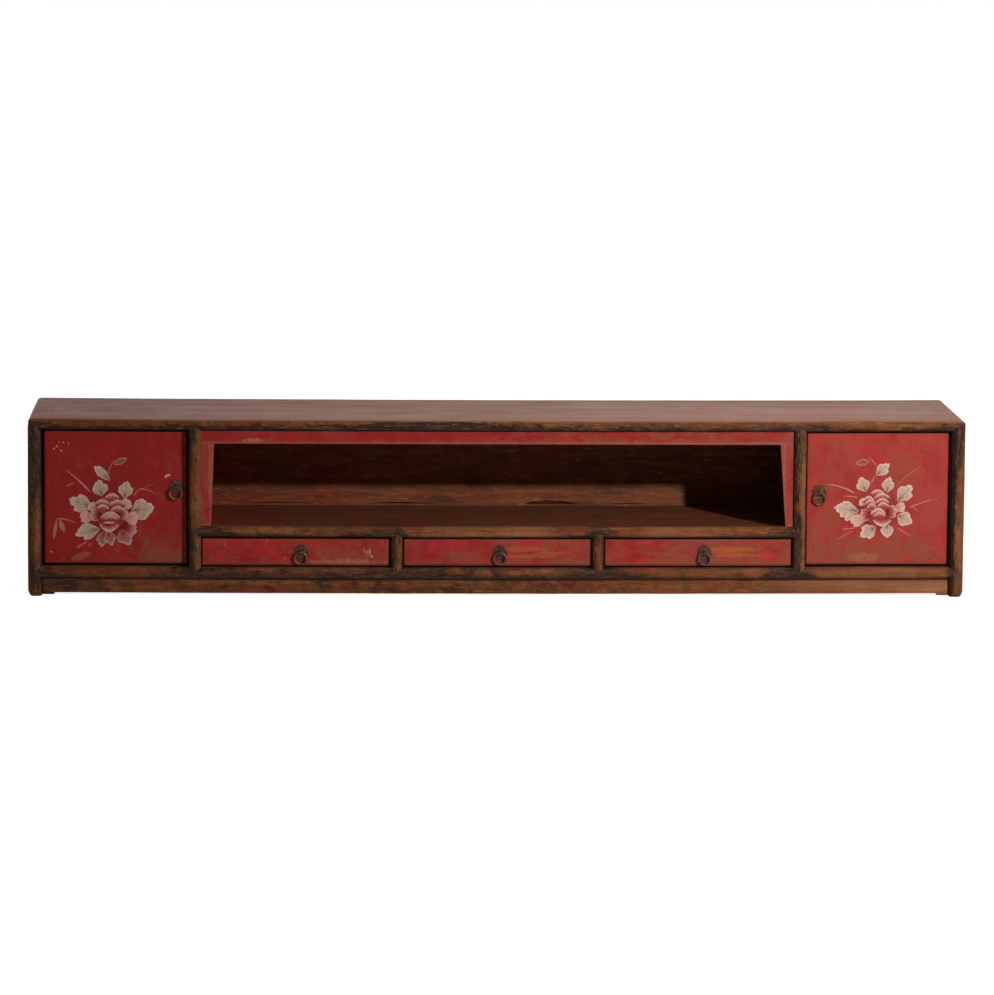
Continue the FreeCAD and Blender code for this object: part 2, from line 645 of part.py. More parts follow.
# Corner posts with their mortises and grooves
post_seats = [rail_mortise, end_mortise, side_board]
front_post = keep("front_left_post", cut("front_left_post_bar", post_top, post_seats))
keep("front_right_post", mirrored("front_right_post_bar", front_post))
back_seats = [mirrored("back_rail_mortise", rail_mortise, Y), mirrored("back_end_mortise", end_mortise, Y),
              side_board, lower_plank, upper_plank]
back_post = cut("back_left_post_bar", mirrored("back_post_blank", post_top, Y), back_seats)
keep("back_posts", group("back_post_group", pair("back_post", back_post)), 2)

# Inner posts, shelf rail and drawer dividers
inner_scribed = cut("inner_post_scribed", inner_bar, [bottom_bar, top_bar])
inner_blank = fuse("inner_post_blank", [inner_scribed, inner_foot, inner_head])
inner_post = keep("inner_left_post", cut("inner_post_bar_cut", inner_blank,
                                         [shelf_mortise, partition_web, left_fascia_blank, fascia_top]))
keep("inner_right_post", mirrored("inner_right_post_bar", inner_post))
shelf_scribed = cut("shelf_rail_scribed", shelf_bar, pair("inner_bar", inner_bar))
shelf_blank = fuse("shelf_rail_blank", [shelf_scribed, *pair("shelf_tenon", shelf_tenon)])
keep("shelf_rail", cut("shelf_rail_bar_cut", shelf_blank,
                       [shelf_lip, *pair("divider_head_mortise", divider_head_mortise)]))
divider_scribed = cut("divider_scribed", divider_bar, [bottom_bar, shelf_bar])
divider = keep("left_divider", fuse("divider_post", [divider_scribed, divider_foot, divider_head]))
keep("right_divider", mirrored("right_divider_post", divider))

# Stops behind the lock edge of each door
stop = box("door_stop", (f"({partition_x[0]} - stop_width)", partition_x[0]),
           (f"({DOOR_BACK} + stop_clearance)", f"({DOOR_BACK} + stop_clearance + stop_width)"),
           (DOOR_LOW, DOOR_TOP))
keep("door_stops", group("door_stop_group", pair("door_stop", stop)), 2)

# Ring pulls
EYE_INNER = "(ring_wire / 2 + eye_play)"
EYE_CENTRE = f"({EYE_INNER} + eye_wire / 2)"
EYE_OUT = f"({EYE_INNER} + eye_wire)"


def ring_pull(name, x, z, face, board):
    """Plate, split-pin eye and hanging ring on a board's front face.

    The ring's wire rests low in the eye, a running clearance above its wall.
    """
    plate_face = f"({face} - plate_thickness)"
    eye_y = f"({plate_face} - {EYE_OUT})"
    disc = doc.addObject("Part::Cone", f"{name}_disc")
    bind(disc, "Radius1", "plate_radius")
    bind(disc, "Radius2", "(plate_radius - plate_rim)")
    bind(disc, "Height", "plate_thickness")
    place(disc, (X, Z, -Y), (x, face, z))
    hole = cylinder(f"{name}_hole", Y, "(pin_radius + pin_clearance)",
                    f"({board} + plate_thickness + 2 * overrun)", (x, f"({plate_face} - overrun)", z))
    loop = torus(f"{name}_loop", X, EYE_CENTRE, "eye_wire / 2", (x, eye_y, z))
    shank = cylinder(f"{name}_shank", Y, "pin_radius",
                     f"({board} + plate_thickness + {EYE_OUT} - {EYE_CENTRE} + clinch_thickness)",
                     (x, f"({eye_y} + {EYE_CENTRE})", z))
    clinch = box(f"{name}_clinch", about(x, "2 * pin_radius"),
                 (f"({face} + {board})", f"({face} + {board} + clinch_thickness)"),
                 about(z, "2 * clinch_length"))
    ring_top = f"({z} - eye_play + ring_clearance)"
    ring = torus(f"{name}_ring", Y, "ring_radius", "ring_wire / 2",
                 (x, eye_y, f"({ring_top} - ring_radius)"))
    return {"plate": cut(f"{name}_plate", disc, [hole]), "hole": hole,
            "eye": fuse(f"{name}_eye", [loop, shank, clinch]), "ring": ring}


# Doors: one board each, turning on wooden pegs, held flat by dovetailed battens
def door(side):
    """All pieces of a door, made on the left and mirrored for the right.

    The pull stands a little above the middle of the door.
    """
    name = f"{side}_door"
    height = f"({DOOR_TOP} - {DOOR_LOW})"
    board = box(f"{name}_board", (HINGE_X, LOCK_X), (DOOR_FRONT, DOOR_BACK), (DOOR_LOW, DOOR_TOP))
    edge = cylinder(f"{name}_edge", Z, "door_thickness / 2", height, (HINGE_X, DOOR_MID, DOOR_LOW))
    low_length = "(peg_length_low + door_gap_low - peg_clearance)"
    low_peg = cylinder(f"{name}_low_peg", Z, "peg_radius", low_length,
                       (HINGE_X, DOOR_MID, f"({DOOR_LOW} - {low_length})"))
    top_peg = cylinder(f"{name}_top_peg", Z, "peg_radius", "(peg_length_top + door_gap_top)",
                       (HINGE_X, DOOR_MID, DOOR_TOP))
    pull_z = f"({DOOR_LOW} / 2 + {DOOR_TOP} / 2 + {name}_pull_rise)"
    pull = ring_pull(f"{name}_pull", f"({LOCK_X} - {name}_pull_edge)", pull_z, DOOR_FRONT,
                     "door_thickness")
    battens = []
    dovetails = []
    batten_start = f"({HINGE_X} + door_batten_end)"
    batten_length = f"({LOCK_X} - door_batten_end - {batten_start})"
    batten_places = {"low": f"({DOOR_LOW} + door_batten_inset)", "top": f"({DOOR_TOP} - door_batten_inset)"}
    for label, centre in batten_places.items():
        dovetail = wedge(f"{name}_{label}_dovetail", (Z, -Y, X),
                         (batten_start, DOOR_BACK, f"({centre} - door_batten_width / 2)"),
                         ("dovetail_flare", "(door_batten_width - dovetail_flare)"),
                         ("0", "door_batten_width"), "dovetail_depth", batten_length)
        back = box(f"{name}_{label}_batten_back", (batten_start, f"({batten_start} + {batten_length})"),
                   (DOOR_BACK, f"({DOOR_BACK} + door_batten_proud)"),
                   about(centre, "(door_batten_width - 2 * dovetail_flare)"))
        dovetails.append(dovetail)
        battens.append(fuse(f"{name}_{label}_batten", [dovetail, back]))
    panel = cut(f"{name}_panel_board", fuse(f"{name}_blank", [board, edge, low_peg, top_peg]),
                [pull["hole"], *dovetails])
    pieces = {f"{name}_panel": (panel, 1), f"{name}_battens": (group(f"{name}_batten_group", battens), 2),
              f"{name}_pull_plate": (pull["plate"], 1), f"{name}_pull_eye": (pull["eye"], 1),
              f"{name}_pull_ring": (pull["ring"], 1)}
    for label, (item, solids) in pieces.items():
        keep(label, mirrored(f"{label}_right", item) if side == "right" else item, solids)


door("left")
door("right")

# Drawers: lapped front, two sides and a back, a bottom in grooves
DRAWER_FRONT = f"({FRONT} + drawer_recess)"
DRAWER_INNER = f"({DRAWER_FRONT} + drawer_front_thickness)"
DRAWER_END = f"({BACK_FACE} - drawer_back_gap)"
DRAWER_LOW = f"({RAIL_TOP} + drawer_gap_low)"
DRAWER_TOP = f"({SHELF_LOW} - drawer_gap_top)"
DRAWER_HALF = f"({DRAWER_OPENING} / 2 - drawer_gap)"
SIDE_OUT = f"({DRAWER_HALF} - drawer_side_set)"
SIDE_IN = f"({SIDE_OUT} - drawer_side_thickness)"
BOTTOM_LOW = f"({DRAWER_LOW} + drawer_bottom_lift)"
BOTTOM_TOP = f"({BOTTOM_LOW} + drawer_bottom_thickness)"


def drawer(side, place_number):
    """All pieces of a drawer, counted from the middle one."""
    name = f"{side}_drawer"
    centre = f"({place_number} * {DRAWER_PITCH})"
    side_z = (DRAWER_LOW, f"({DRAWER_LOW} + drawer_side_height)")
    side_y = (f"({DRAWER_INNER} - drawer_lap)", DRAWER_END)
    left_side = box(f"{name}_left_side", (f"({centre} - {SIDE_OUT})", f"({centre} - {SIDE_IN})"),
                    side_y, side_z)
    right_side = box(f"{name}_right_side", (f"({centre} + {SIDE_IN})", f"({centre} + {SIDE_OUT})"),
                     side_y, side_z)
    back = box(f"{name}_back", about(centre, f"(2 * {SIDE_IN})"),
               (f"({DRAWER_END} - drawer_side_thickness)", DRAWER_END), (BOTTOM_TOP, side_z[1]))
    bottom = box(f"{name}_bottom_board", about(centre, f"(2 * {SIDE_IN} + 2 * drawer_groove)"),
                 (f"({DRAWER_INNER} - drawer_groove)", DRAWER_END), (BOTTOM_LOW, BOTTOM_TOP))
    pull = ring_pull(f"{name}_pull", f"({centre} + {name}_pull_offset)",
                     f"({DRAWER_LOW} / 2 + {DRAWER_TOP} / 2 - drawer_pull_drop)", DRAWER_FRONT,
                     "drawer_front_thickness")
    blank = box(f"{name}_front_blank", about(centre, f"(2 * {DRAWER_HALF})"), (DRAWER_FRONT, DRAWER_INNER),
                (DRAWER_LOW, DRAWER_TOP))
    keep(f"{name}_front", cut(f"{name}_front_board", blank, [left_side, right_side, bottom, pull["hole"]]))
    box_pieces = [cut(f"{name}_{label}_grooved", board, [bottom])
                  for label, board in (("left", left_side), ("right", right_side))]
    keep(f"{name}_box", group(f"{name}_box_group", [*box_pieces, back]), 3)
    keep(f"{name}_bottom", bottom)
    for label in ("plate", "eye", "ring"):
        keep(f"{name}_pull_{label}", pull[label])


for drawer_side, drawer_number in (("left", -1), ("middle", 0), ("right", 1)):
    drawer(drawer_side, drawer_number)

# Runners under the drawer sides and guides between the drawers
runner_y = (RAIL_IN, f"({DRAWER_END} + runner_width)")
runners = []
for index in (-1, 0, 1):
    middle = f"({index} * {DRAWER_PITCH})"
    for label, sign in (("left", "-"), ("right", "+")):
        spot = f"({middle} {sign} ({SIDE_OUT} - runner_overlap + runner_width / 2))"
        runners.append(box(f"runner_{label}_{index + 1}", about(spot, "runner_width"), runner_y,
                           (FLOOR_TOP, f"({DRAWER_LOW} - slide_clearance)")))
guide_z = (f"({DRAWER_LOW} - slide_clearance)", f"({DRAWER_LOW} + guide_height)")
guide_gap = f"({DRAWER_PITCH} / 2 - {SIDE_OUT} - slide_clearance)"
middle_guide = box("drawer_guide_middle", about(DIVIDER_MID, f"(2 * {guide_gap})"), runner_y, guide_z)
outer_guide_end = f"(0 - {DRAWER_PITCH} - {SIDE_OUT} - slide_clearance)"
outer_guide = box("drawer_guide_outer", (partition_x[1], outer_guide_end), runner_y, guide_z)
runners += pair("middle_guide", middle_guide) + pair("outer_guide", outer_guide)
keep("drawer_runners", group("drawer_runner_group", runners), len(runners))

doc.removeObject("SheetReader")
doc.recompute()
for item in doc.Objects:
    if {"Invalid", "Error"} & set(item.State):
        raise RuntimeError(f"{item.Name} failed to compute: {item.State}")
for label, (item, solids) in NODES.items():
    shape = item.Shape
    if shape.isNull() or not shape.isValid():
        raise RuntimeError(f"{label} has no valid shape")
    if len(shape.Solids) != solids:
        raise RuntimeError(f"{label} has {len(shape.Solids)} solids, not {solids}")

os.makedirs("parts", exist_ok=True)
for label, (item, solids) in NODES.items():
    item.Shape.exportStep(f"parts/{label}.step")
print(f"{len(NODES)} sub-parts written")
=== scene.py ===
# %% [markdown]
# # A low painted cabinet from northern China
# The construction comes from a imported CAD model: a rounded post-and-rail frame, panels in grooves, two
# pivot doors and three drawers. This lesson dresses it. Every visible piece gets softened, slightly
# uneven edges and a finish built from shader nodes: old red lacquer, dark lacquer worn back to amber
# wood, painted peonies and hand-forged ring pulls.

# %% Load the frame
import json
import math
from collections import namedtuple

import bmesh
import bpy
from mathutils import Matrix, Vector, noise


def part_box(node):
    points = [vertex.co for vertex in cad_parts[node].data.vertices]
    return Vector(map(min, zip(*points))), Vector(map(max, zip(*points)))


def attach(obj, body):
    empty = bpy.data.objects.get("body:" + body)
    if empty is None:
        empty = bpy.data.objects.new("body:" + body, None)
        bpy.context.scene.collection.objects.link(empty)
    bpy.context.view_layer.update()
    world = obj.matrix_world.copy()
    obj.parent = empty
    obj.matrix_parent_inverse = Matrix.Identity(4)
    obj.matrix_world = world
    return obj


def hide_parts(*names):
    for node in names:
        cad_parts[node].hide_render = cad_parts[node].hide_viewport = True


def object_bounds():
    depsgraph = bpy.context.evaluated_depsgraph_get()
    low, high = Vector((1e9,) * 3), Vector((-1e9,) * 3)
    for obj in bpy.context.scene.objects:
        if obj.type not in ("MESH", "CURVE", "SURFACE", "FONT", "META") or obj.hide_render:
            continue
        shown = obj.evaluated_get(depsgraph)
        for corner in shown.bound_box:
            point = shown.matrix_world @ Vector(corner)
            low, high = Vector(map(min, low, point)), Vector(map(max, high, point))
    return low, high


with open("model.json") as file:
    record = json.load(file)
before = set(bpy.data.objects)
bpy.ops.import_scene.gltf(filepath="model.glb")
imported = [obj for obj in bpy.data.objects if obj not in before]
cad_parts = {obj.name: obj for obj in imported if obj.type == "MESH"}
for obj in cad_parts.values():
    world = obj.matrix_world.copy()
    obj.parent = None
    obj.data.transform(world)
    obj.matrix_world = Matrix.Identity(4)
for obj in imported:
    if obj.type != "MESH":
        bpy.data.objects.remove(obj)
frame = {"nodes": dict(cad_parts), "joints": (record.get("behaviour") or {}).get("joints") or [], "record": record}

MM = 0.001
MERGE = 0.01 * MM
cad_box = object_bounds()
half_width, half_depth, height = cad_box[1]
nodes = frame["nodes"]
body_of_node = {}
for body, members in frame["record"]["behaviour"]["bodies"].items():
    for node in members:
        body_of_node[node] = body

# %% [markdown]
# ## Shader helpers
# A finish on old furniture is layers: wood, lacquer over it, wear through the lacquer, dirt on top. In
# the shader editor each layer is a noise or a ramp that drives a Mix node. A few helpers keep such
# graphs short to write: one adds any node and fills or links its sockets, the others name the common
# cases. Every pattern reads Object coordinates. All pieces sit at the origin, so these are places on the
# cabinet in metres, and one noise runs on from piece to piece as real light and dirt do.

# %% Shader helpers
def add_node(tree, kind, sockets, **settings):
    """One shader node with its settings, each socket given a value or a link."""
    made = tree.nodes.new(kind)
    for setting, value in settings.items():
        setattr(made, setting, value)
    for socket, value in sockets.items():
        if isinstance(value, bpy.types.NodeSocket):
            tree.links.new(value, made.inputs[socket])
        else:
            made.inputs[socket].default_value = value
    return made


def sums(tree, operation, first, second=0.0):
    """A Math node's result."""
    return add_node(tree, "ShaderNodeMath", {0: first, 1: second}, operation=operation).outputs[0]


def weighed(tree, *parts):
    """The sum of several values, each times its weight."""
    total = 0.0
    for value, weight in parts:
        made = add_node(tree, "ShaderNodeMath", {0: value, 1: weight, 2: total}, operation="MULTIPLY_ADD")
        total = made.outputs[0]
    return total


def eased(tree, value, low, high, low_gives=0.0, high_gives=1.0):
    """A value remapped with soft ends: the usual way to turn noise into a mask."""
    made = add_node(tree, "ShaderNodeMapRange", {
        "Value": value, "From Min": low, "From Max": high, "To Min": low_gives, "To Max": high_gives,
    }, interpolation_type="SMOOTHSTEP")
    return made.outputs[0]


def mixed(tree, share, under, over, way="MIX"):
    """Two colours layered, the second lying over the first by its share."""
    made = add_node(tree, "ShaderNodeMix", {0: share, 6: under, 7: over}, data_type="RGBA", blend_type=way)
    return made.outputs[2]


def ramp(tree, value, stops):
    """A colour ramp through stops of place and colour."""
    made = add_node(tree, "ShaderNodeValToRGB", {0: value})
    elements = made.color_ramp.elements
    while len(elements) < len(stops):
        elements.new(0.5)
    for element, (place, colour) in zip(elements, stops):
        element.position = place
        element.color = colour
    return made.outputs[0]


def cloudy(tree, place, size, detail=4.0, roughness=0.6, twist=0.0):
    """Noise whose features are about as large as the size in metres."""
    made = add_node(tree, "ShaderNodeTexNoise", {
        "Vector": place, "Scale": 1 / size, "Detail": detail, "Roughness": roughness, "Distortion": twist})
    return made.outputs[0]


def rgb(red, green, blue):
    """A colour from its 0 to 255 screen values, made linear for the shader."""
    def linear(value):
        share = value / 255
        return share / 12.92 if share <= 0.04045 else ((share + 0.055) / 1.055) ** 2.4
    return (linear(red), linear(green), linear(blue), 1.0)


print("shader helpers ready")

# %% [markdown]
# ## Grain
# Wood pores and brush marks are the same noise everywhere, stretched along the board. A Mapping node
# squeezes the coordinates along the grain, so the noise cells become long streaks. Each finish gets the
# axis along which its boards run. Brush marks are squeezed less than wood grain. The other helpers here lay
# one colour over another through such a pattern, start a material, and link what was made to its shader.

# %% Grain helpers
GRAIN_SQUEEZE = 0.05
BRUSH_SQUEEZE = 0.3
BUMP_STRENGTH = 0.6


def along_grain(tree, place, axis, shift=0.0, squeeze=GRAIN_SQUEEZE):
    """Object coordinates squeezed along an axis; a shift gives each layer streaks of its own."""
    scale = [squeeze if letter == axis else 1.0 for letter in "XYZ"]
    made = add_node(tree, "ShaderNodeMapping", {
        "Vector": place, "Location": (shift, shift, shift), "Scale": scale})
    return made.outputs[0]


def streaky(tree, place, axis, shift, squeeze, *cloud):
    """Noise in streaks along an axis; its cloud is a size, a detail, a roughness and a twist."""
    return cloudy(tree, along_grain(tree, place, axis, shift, squeeze), *cloud)


def layered(tree, under, over, pattern, low, high, share):
    """A colour laid over another, up to a share, where a pattern rises from low to high."""
    return mixed(tree, eased(tree, pattern, low, high, 0.0, share), under, over)


def split(tree, vector):
    """The X, Y and Z of a vector."""
    return add_node(tree, "ShaderNodeSeparateXYZ", {0: vector}).outputs


def start_finish(name):
    """A new material, its tree and shader, and the place on the cabinet that its patterns read."""
    material = bpy.data.materials.new(name)
    material.use_nodes = True
    tree = material.node_tree
    place = add_node(tree, "ShaderNodeTexCoord", {}).outputs["Object"]
    return material, tree, tree.nodes["Principled BSDF"], place


def surface(tree, shader, colour, roughness, bumps, relief, shine):
    """Link a finished colour, roughness and bumps into the shader, and set how much it reflects."""
    bump = add_node(tree, "ShaderNodeBump", {"Strength": BUMP_STRENGTH, "Distance": relief, "Height": bumps})
    tree.links.new(colour, shader.inputs["Base Color"])
    tree.links.new(roughness, shader.inputs["Roughness"])
    tree.links.new(bump.outputs[0], shader.inputs["Normal"])
    shader.inputs["Specular IOR Level"].default_value = shine


print("grain squeezed to", GRAIN_SQUEEZE, "of its length, brush marks to", BRUSH_SQUEEZE)

# %% [markdown]
# ## The frame's finish
# The frame was lacquered almost black over elm. Hands, cloths and feet have worn the middle of each
# member back to amber wood, while the lacquer stays near the joints. A mask painted by hand would do
# this, but a colour ramp along the member, broken up by streaky noise, gives it for any member from a
# short list of places with the share of lacquer left there. A share below zero stands for wood that is
# bleached too. Rails also keep more lacquer underneath, and their lower side is darkened further as
# painted shade, so the way the surface faces goes into the mask. Where a crown turns away from the front
# it is darkened as painted shade, and a face that looks right is lightened as painted light.

# %% Frame finish
AMBER_STOPS = [(0.25, rgb(72, 39, 22)), (0.42, rgb(110, 61, 35)), (0.58, rgb(142, 86, 52)),
               (0.78, rgb(180, 119, 77))]
BLEACHED_STOPS = [(0.3, rgb(124, 74, 46)), (0.5, rgb(160, 104, 72)), (0.7, rgb(190, 134, 98))]
LACQUER_STOPS = [(0.3, rgb(38, 24, 19)), (0.5, rgb(59, 38, 29)), (0.7, rgb(104, 72, 58))]
TOP_STOPS = [(0.25, rgb(116, 76, 62)), (0.45, rgb(160, 117, 102)), (0.62, rgb(178, 136, 120)),
             (0.8, rgb(198, 158, 140))]
TOP_PATCH = rgb(138, 84, 62)
TOP_NICK = rgb(74, 46, 38)
TOP_FRONT = rgb(150, 96, 66)
TOP_FRONT_DEPTH = 0.05
OLIVE_STAIN = rgb(86, 60, 28)
RED_STAIN = rgb(124, 52, 40)
SCRATCH = rgb(164, 112, 72)
DARK_NICK = rgb(40, 24, 18)
# Dark brown for painted shade where a crown turns away, with a little real dirt
SHADE_AND_DIRT = rgb(30, 17, 12)
PATCHINESS = 1.7
SCRUBBED = (0.6, 0.6, 0.6, 1)
# Axis and weight of the ways that a crown faces where it turns away and gets painted shade
RAIL_SHADED_SIDES = ((2, -1),)
POST_SHADED_SIDES = ((0, 1), (0, -1))


def lacquer_left(tree, coordinate, places):
    """The share of lacquer that is left along a member, from a list of places.

    A ramp holds no values below zero, so the shares are raised by one before it and lowered after.
    """
    low, high = places[0][0], places[-1][0]
    along = sums(tree, "DIVIDE", sums(tree, "SUBTRACT", coordinate, low), high - low)
    stops = [((spot - low) / (high - low), (share + 1, share + 1, share + 1, 1)) for spot, share in places]
    return sums(tree, "SUBTRACT", ramp(tree, along, stops), 1.0)


def top_wood_colour(tree, place):
    """Colour and height of the worn top: pale streaks along the length, with small dark nicks."""
    streaks = along_grain(tree, place, "X", 3.1)
    broad = cloudy(tree, streaks, 0.03, 5, 0.62, 0.4)
    fine = cloudy(tree, streaks, 0.004, 3, 0.7)
    grain = weighed(tree, (broad, 0.66), (fine, 0.34))
    wood = ramp(tree, grain, TOP_STOPS)
    patches = streaky(tree, place, "X", 1.2, BRUSH_SQUEEZE, 0.09, 5, 0.68, 0.8)
    wood = layered(tree, wood, TOP_PATCH, patches, 0.46, 0.68, 0.65)
    front_wear = eased(tree, split(tree, place)[1], -half_depth, TOP_FRONT_DEPTH - half_depth, 0.55, 0.0)
    wood = mixed(tree, front_wear, wood, TOP_FRONT)
    nicks = streaky(tree, place, "X", 8.7, 0.12, 0.006, 3, 0.6)
    return layered(tree, wood, TOP_NICK, nicks, 0.66, 0.75, 0.55), grain


def frame_finish(name, axis, places, shaded_sides=RAIL_SHADED_SIDES, top_face=False, lacquer_and_shade_below=0.16, broken=1.0,
                 painted_side_light=0.0):
    """Dark lacquer over amber wood for a member along an axis, with painted shade where its crown turns away.

    The lacquer's edge is as ragged, and the wood as scratched, as the broken share says. A face that looks
    right, towards the key lamp, is bared to lighter wood by the side light share, as painted light.
    """
    material, tree, shader, place = start_finish(name)
    facing = split(tree, add_node(tree, "ShaderNodeNewGeometry", {}).outputs["Normal"])
    streaks = along_grain(tree, place, axis)
    broad = cloudy(tree, streaks, 0.016, 5, 0.62, 0.5)
    fine = cloudy(tree, streaks, 0.0028, 3, 0.7)
    grain = weighed(tree, (broad, 0.55), (fine, 0.45))
    wood = ramp(tree, grain, AMBER_STOPS)
    wood = layered(tree, wood, OLIVE_STAIN, cloudy(tree, place, 0.05, 4, 0.65, 0.6), 0.46, 0.6, 0.65)
    reds = streaky(tree, place, axis, 8.1, BRUSH_SQUEEZE, 0.035, 5, 0.66, 0.7)
    wood = layered(tree, wood, RED_STAIN, reds, 0.5, 0.62, 0.65)
    left = lacquer_left(tree, split(tree, place)["XYZ".index(axis)], places)
    wood = mixed(tree, eased(tree, left, -0.6, 0.1, 0.8, 0.0), wood, ramp(tree, grain, BLEACHED_STOPS))
    lacquer = ramp(tree, streaky(tree, place, axis, 2.9, 0.2, 0.009, 5, 0.68, 0.4), LACQUER_STOPS)
    patches = streaky(tree, place, axis, 5.3, 0.25, 0.012, 7, 0.74, 0.7)
    blots = cloudy(tree, place, 0.03, 6, 0.72, 0.8)
    # A face that looks right, towards the key lamp, loses lacquer as painted light
    # Downward faces keep more lacquer, and are darkened further as painted shade
    mask = weighed(tree, (left, 1.0), (facing[2], -lacquer_and_shade_below), (facing[0], -painted_side_light), (blots, 1.0), (1.0, -0.5),
                   (patches, PATCHINESS * broken), (1.0, -PATCHINESS / 2 * broken))
    kept = eased(tree, mask, 0.32, 0.68)
    colour = mixed(tree, kept, wood, lacquer)
    scratches = streaky(tree, place, axis, 7.7, 0.14, 0.003, 3, 0.6)
    colour = layered(tree, colour, SCRATCH, scratches, 0.58, 0.68, 0.5 * broken)
    specks = streaky(tree, place, axis, 1.1, BRUSH_SQUEEZE, 0.0045, 3, 0.6)
    colour = layered(tree, colour, DARK_NICK, specks, 0.62, 0.7, 0.7 * broken)
    # Painted shade where the crown turns away, mixed with a little dirt from the blots
    turned_away = 0.0
    for side, weight in shaded_sides:
        turned_away = sums(tree, "MAXIMUM", sums(tree, "MULTIPLY", facing[side], weight), turned_away)
    darkening = weighed(tree, (turned_away, 1.0), (blots, 0.3))
    colour = layered(tree, colour, SHADE_AND_DIRT, darkening, 0.58, 1.02, 0.8)
    bumps = weighed(tree, (grain, 1.0), (kept, 0.4))
    roughness = eased(tree, kept, 0.0, 1.0, 0.6, 0.42)
    if top_face:
        top_colour, top_grain = top_wood_colour(tree, place)
        upward = eased(tree, facing[2], 0.6, 0.97)
        colour = mixed(tree, upward, colour, top_colour)
        bumps = mixed(tree, upward, bumps, top_grain)
        roughness = mixed(tree, upward, roughness, SCRUBBED)
    surface(tree, shader, colour, roughness, bumps, relief=0.6 * MM, shine=0.07)
    return material


print("frame finish from", len(AMBER_STOPS), "wood tones and", len(LACQUER_STOPS), "lacquer tones")

# %% [markdown]
# ## Red lacquer
# Doors, drawer fronts and the boards around the niche are painted red over the same wood. The red is
# uneven: crimson where it is thick, brick where it is thin, brown where a glaze of dirt and wear lies,
# and pale along rubbed edges. Two clouds of different size make the brush work, and each board has its
# own look: how much brick, and how much glaze at its left end, right end and lower edge. The distance to
# the board's edge comes from its front face in the frame, so rubbed rims follow the real size.

# %% Red lacquer
CRIMSON = rgb(154, 39, 37)
BRICK = rgb(168, 64, 54)
BRIGHT_RED = rgb(198, 45, 46)
BROWN_GLAZE = rgb(146, 76, 54)
WORN_ORANGE = rgb(182, 98, 56)
RUBBED_RIM = rgb(176, 98, 84)
BARE_WOOD = rgb(190, 122, 88)
OLD_GROUND = rgb(222, 176, 160)
HAND_DIRT = rgb(94, 50, 44)
# Colour of the painted shade in the seam round a recessed board
SEAM_SHADE = rgb(44, 16, 12)
SOOT = rgb(70, 24, 20)
HIDDEN_WOOD = rgb(38, 22, 17)
BRUSH_STREAKS = [(0.3, (0.9, 0.9, 0.9, 1)), (0.7, (1.09, 1.09, 1.09, 1))]
Look = namedtuple("Look", "grain brick bright glaze rubbed seam spots")


def front_face(node):
    """Corners of a board's flat front, without the pegs above and below it."""
    low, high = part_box(node)
    levels = [vert.co.z for vert in nodes[node].data.vertices if vert.co.y < low.y + MERGE]
    return Vector((low.x, low.y, min(levels))), Vector((high.x, low.y, max(levels)))


def edge_distance(tree, axes, low, high):
    """Metres to the nearest edge of a board that stands upright."""
    sides = [sums(tree, "SUBTRACT", axes[0], low.x), sums(tree, "SUBTRACT", high.x, axes[0]),
             sums(tree, "SUBTRACT", axes[2], low.z), sums(tree, "SUBTRACT", high.z, axes[2])]
    nearest = sides[0]
    for side in sides[1:]:
        nearest = sums(tree, "MINIMUM", nearest, side)
    return nearest


def spotted(tree, axes, ragged, colour, spots):
    """A colour with ragged spots: place, half width, half height, share and colour of each."""
    for x, z, half_x, half_z, share, spot_colour in spots:
        across = sums(tree, "DIVIDE", sums(tree, "SUBTRACT", axes[0], x), half_x)
        upright = sums(tree, "DIVIDE", sums(tree, "SUBTRACT", axes[2], z), half_z)
        far = sums(tree, "ADD", sums(tree, "POWER", across, 2.0), sums(tree, "POWER", upright, 2.0))
        near = eased(tree, far, 0.0, 1.6, 0.6, 0.0)
        covered = weighed(tree, (near, 1.0), (ragged, 2.0), (1.0, -1.0))
        colour = layered(tree, colour, spot_colour, covered, 0.2, 0.6, share)
    return colour


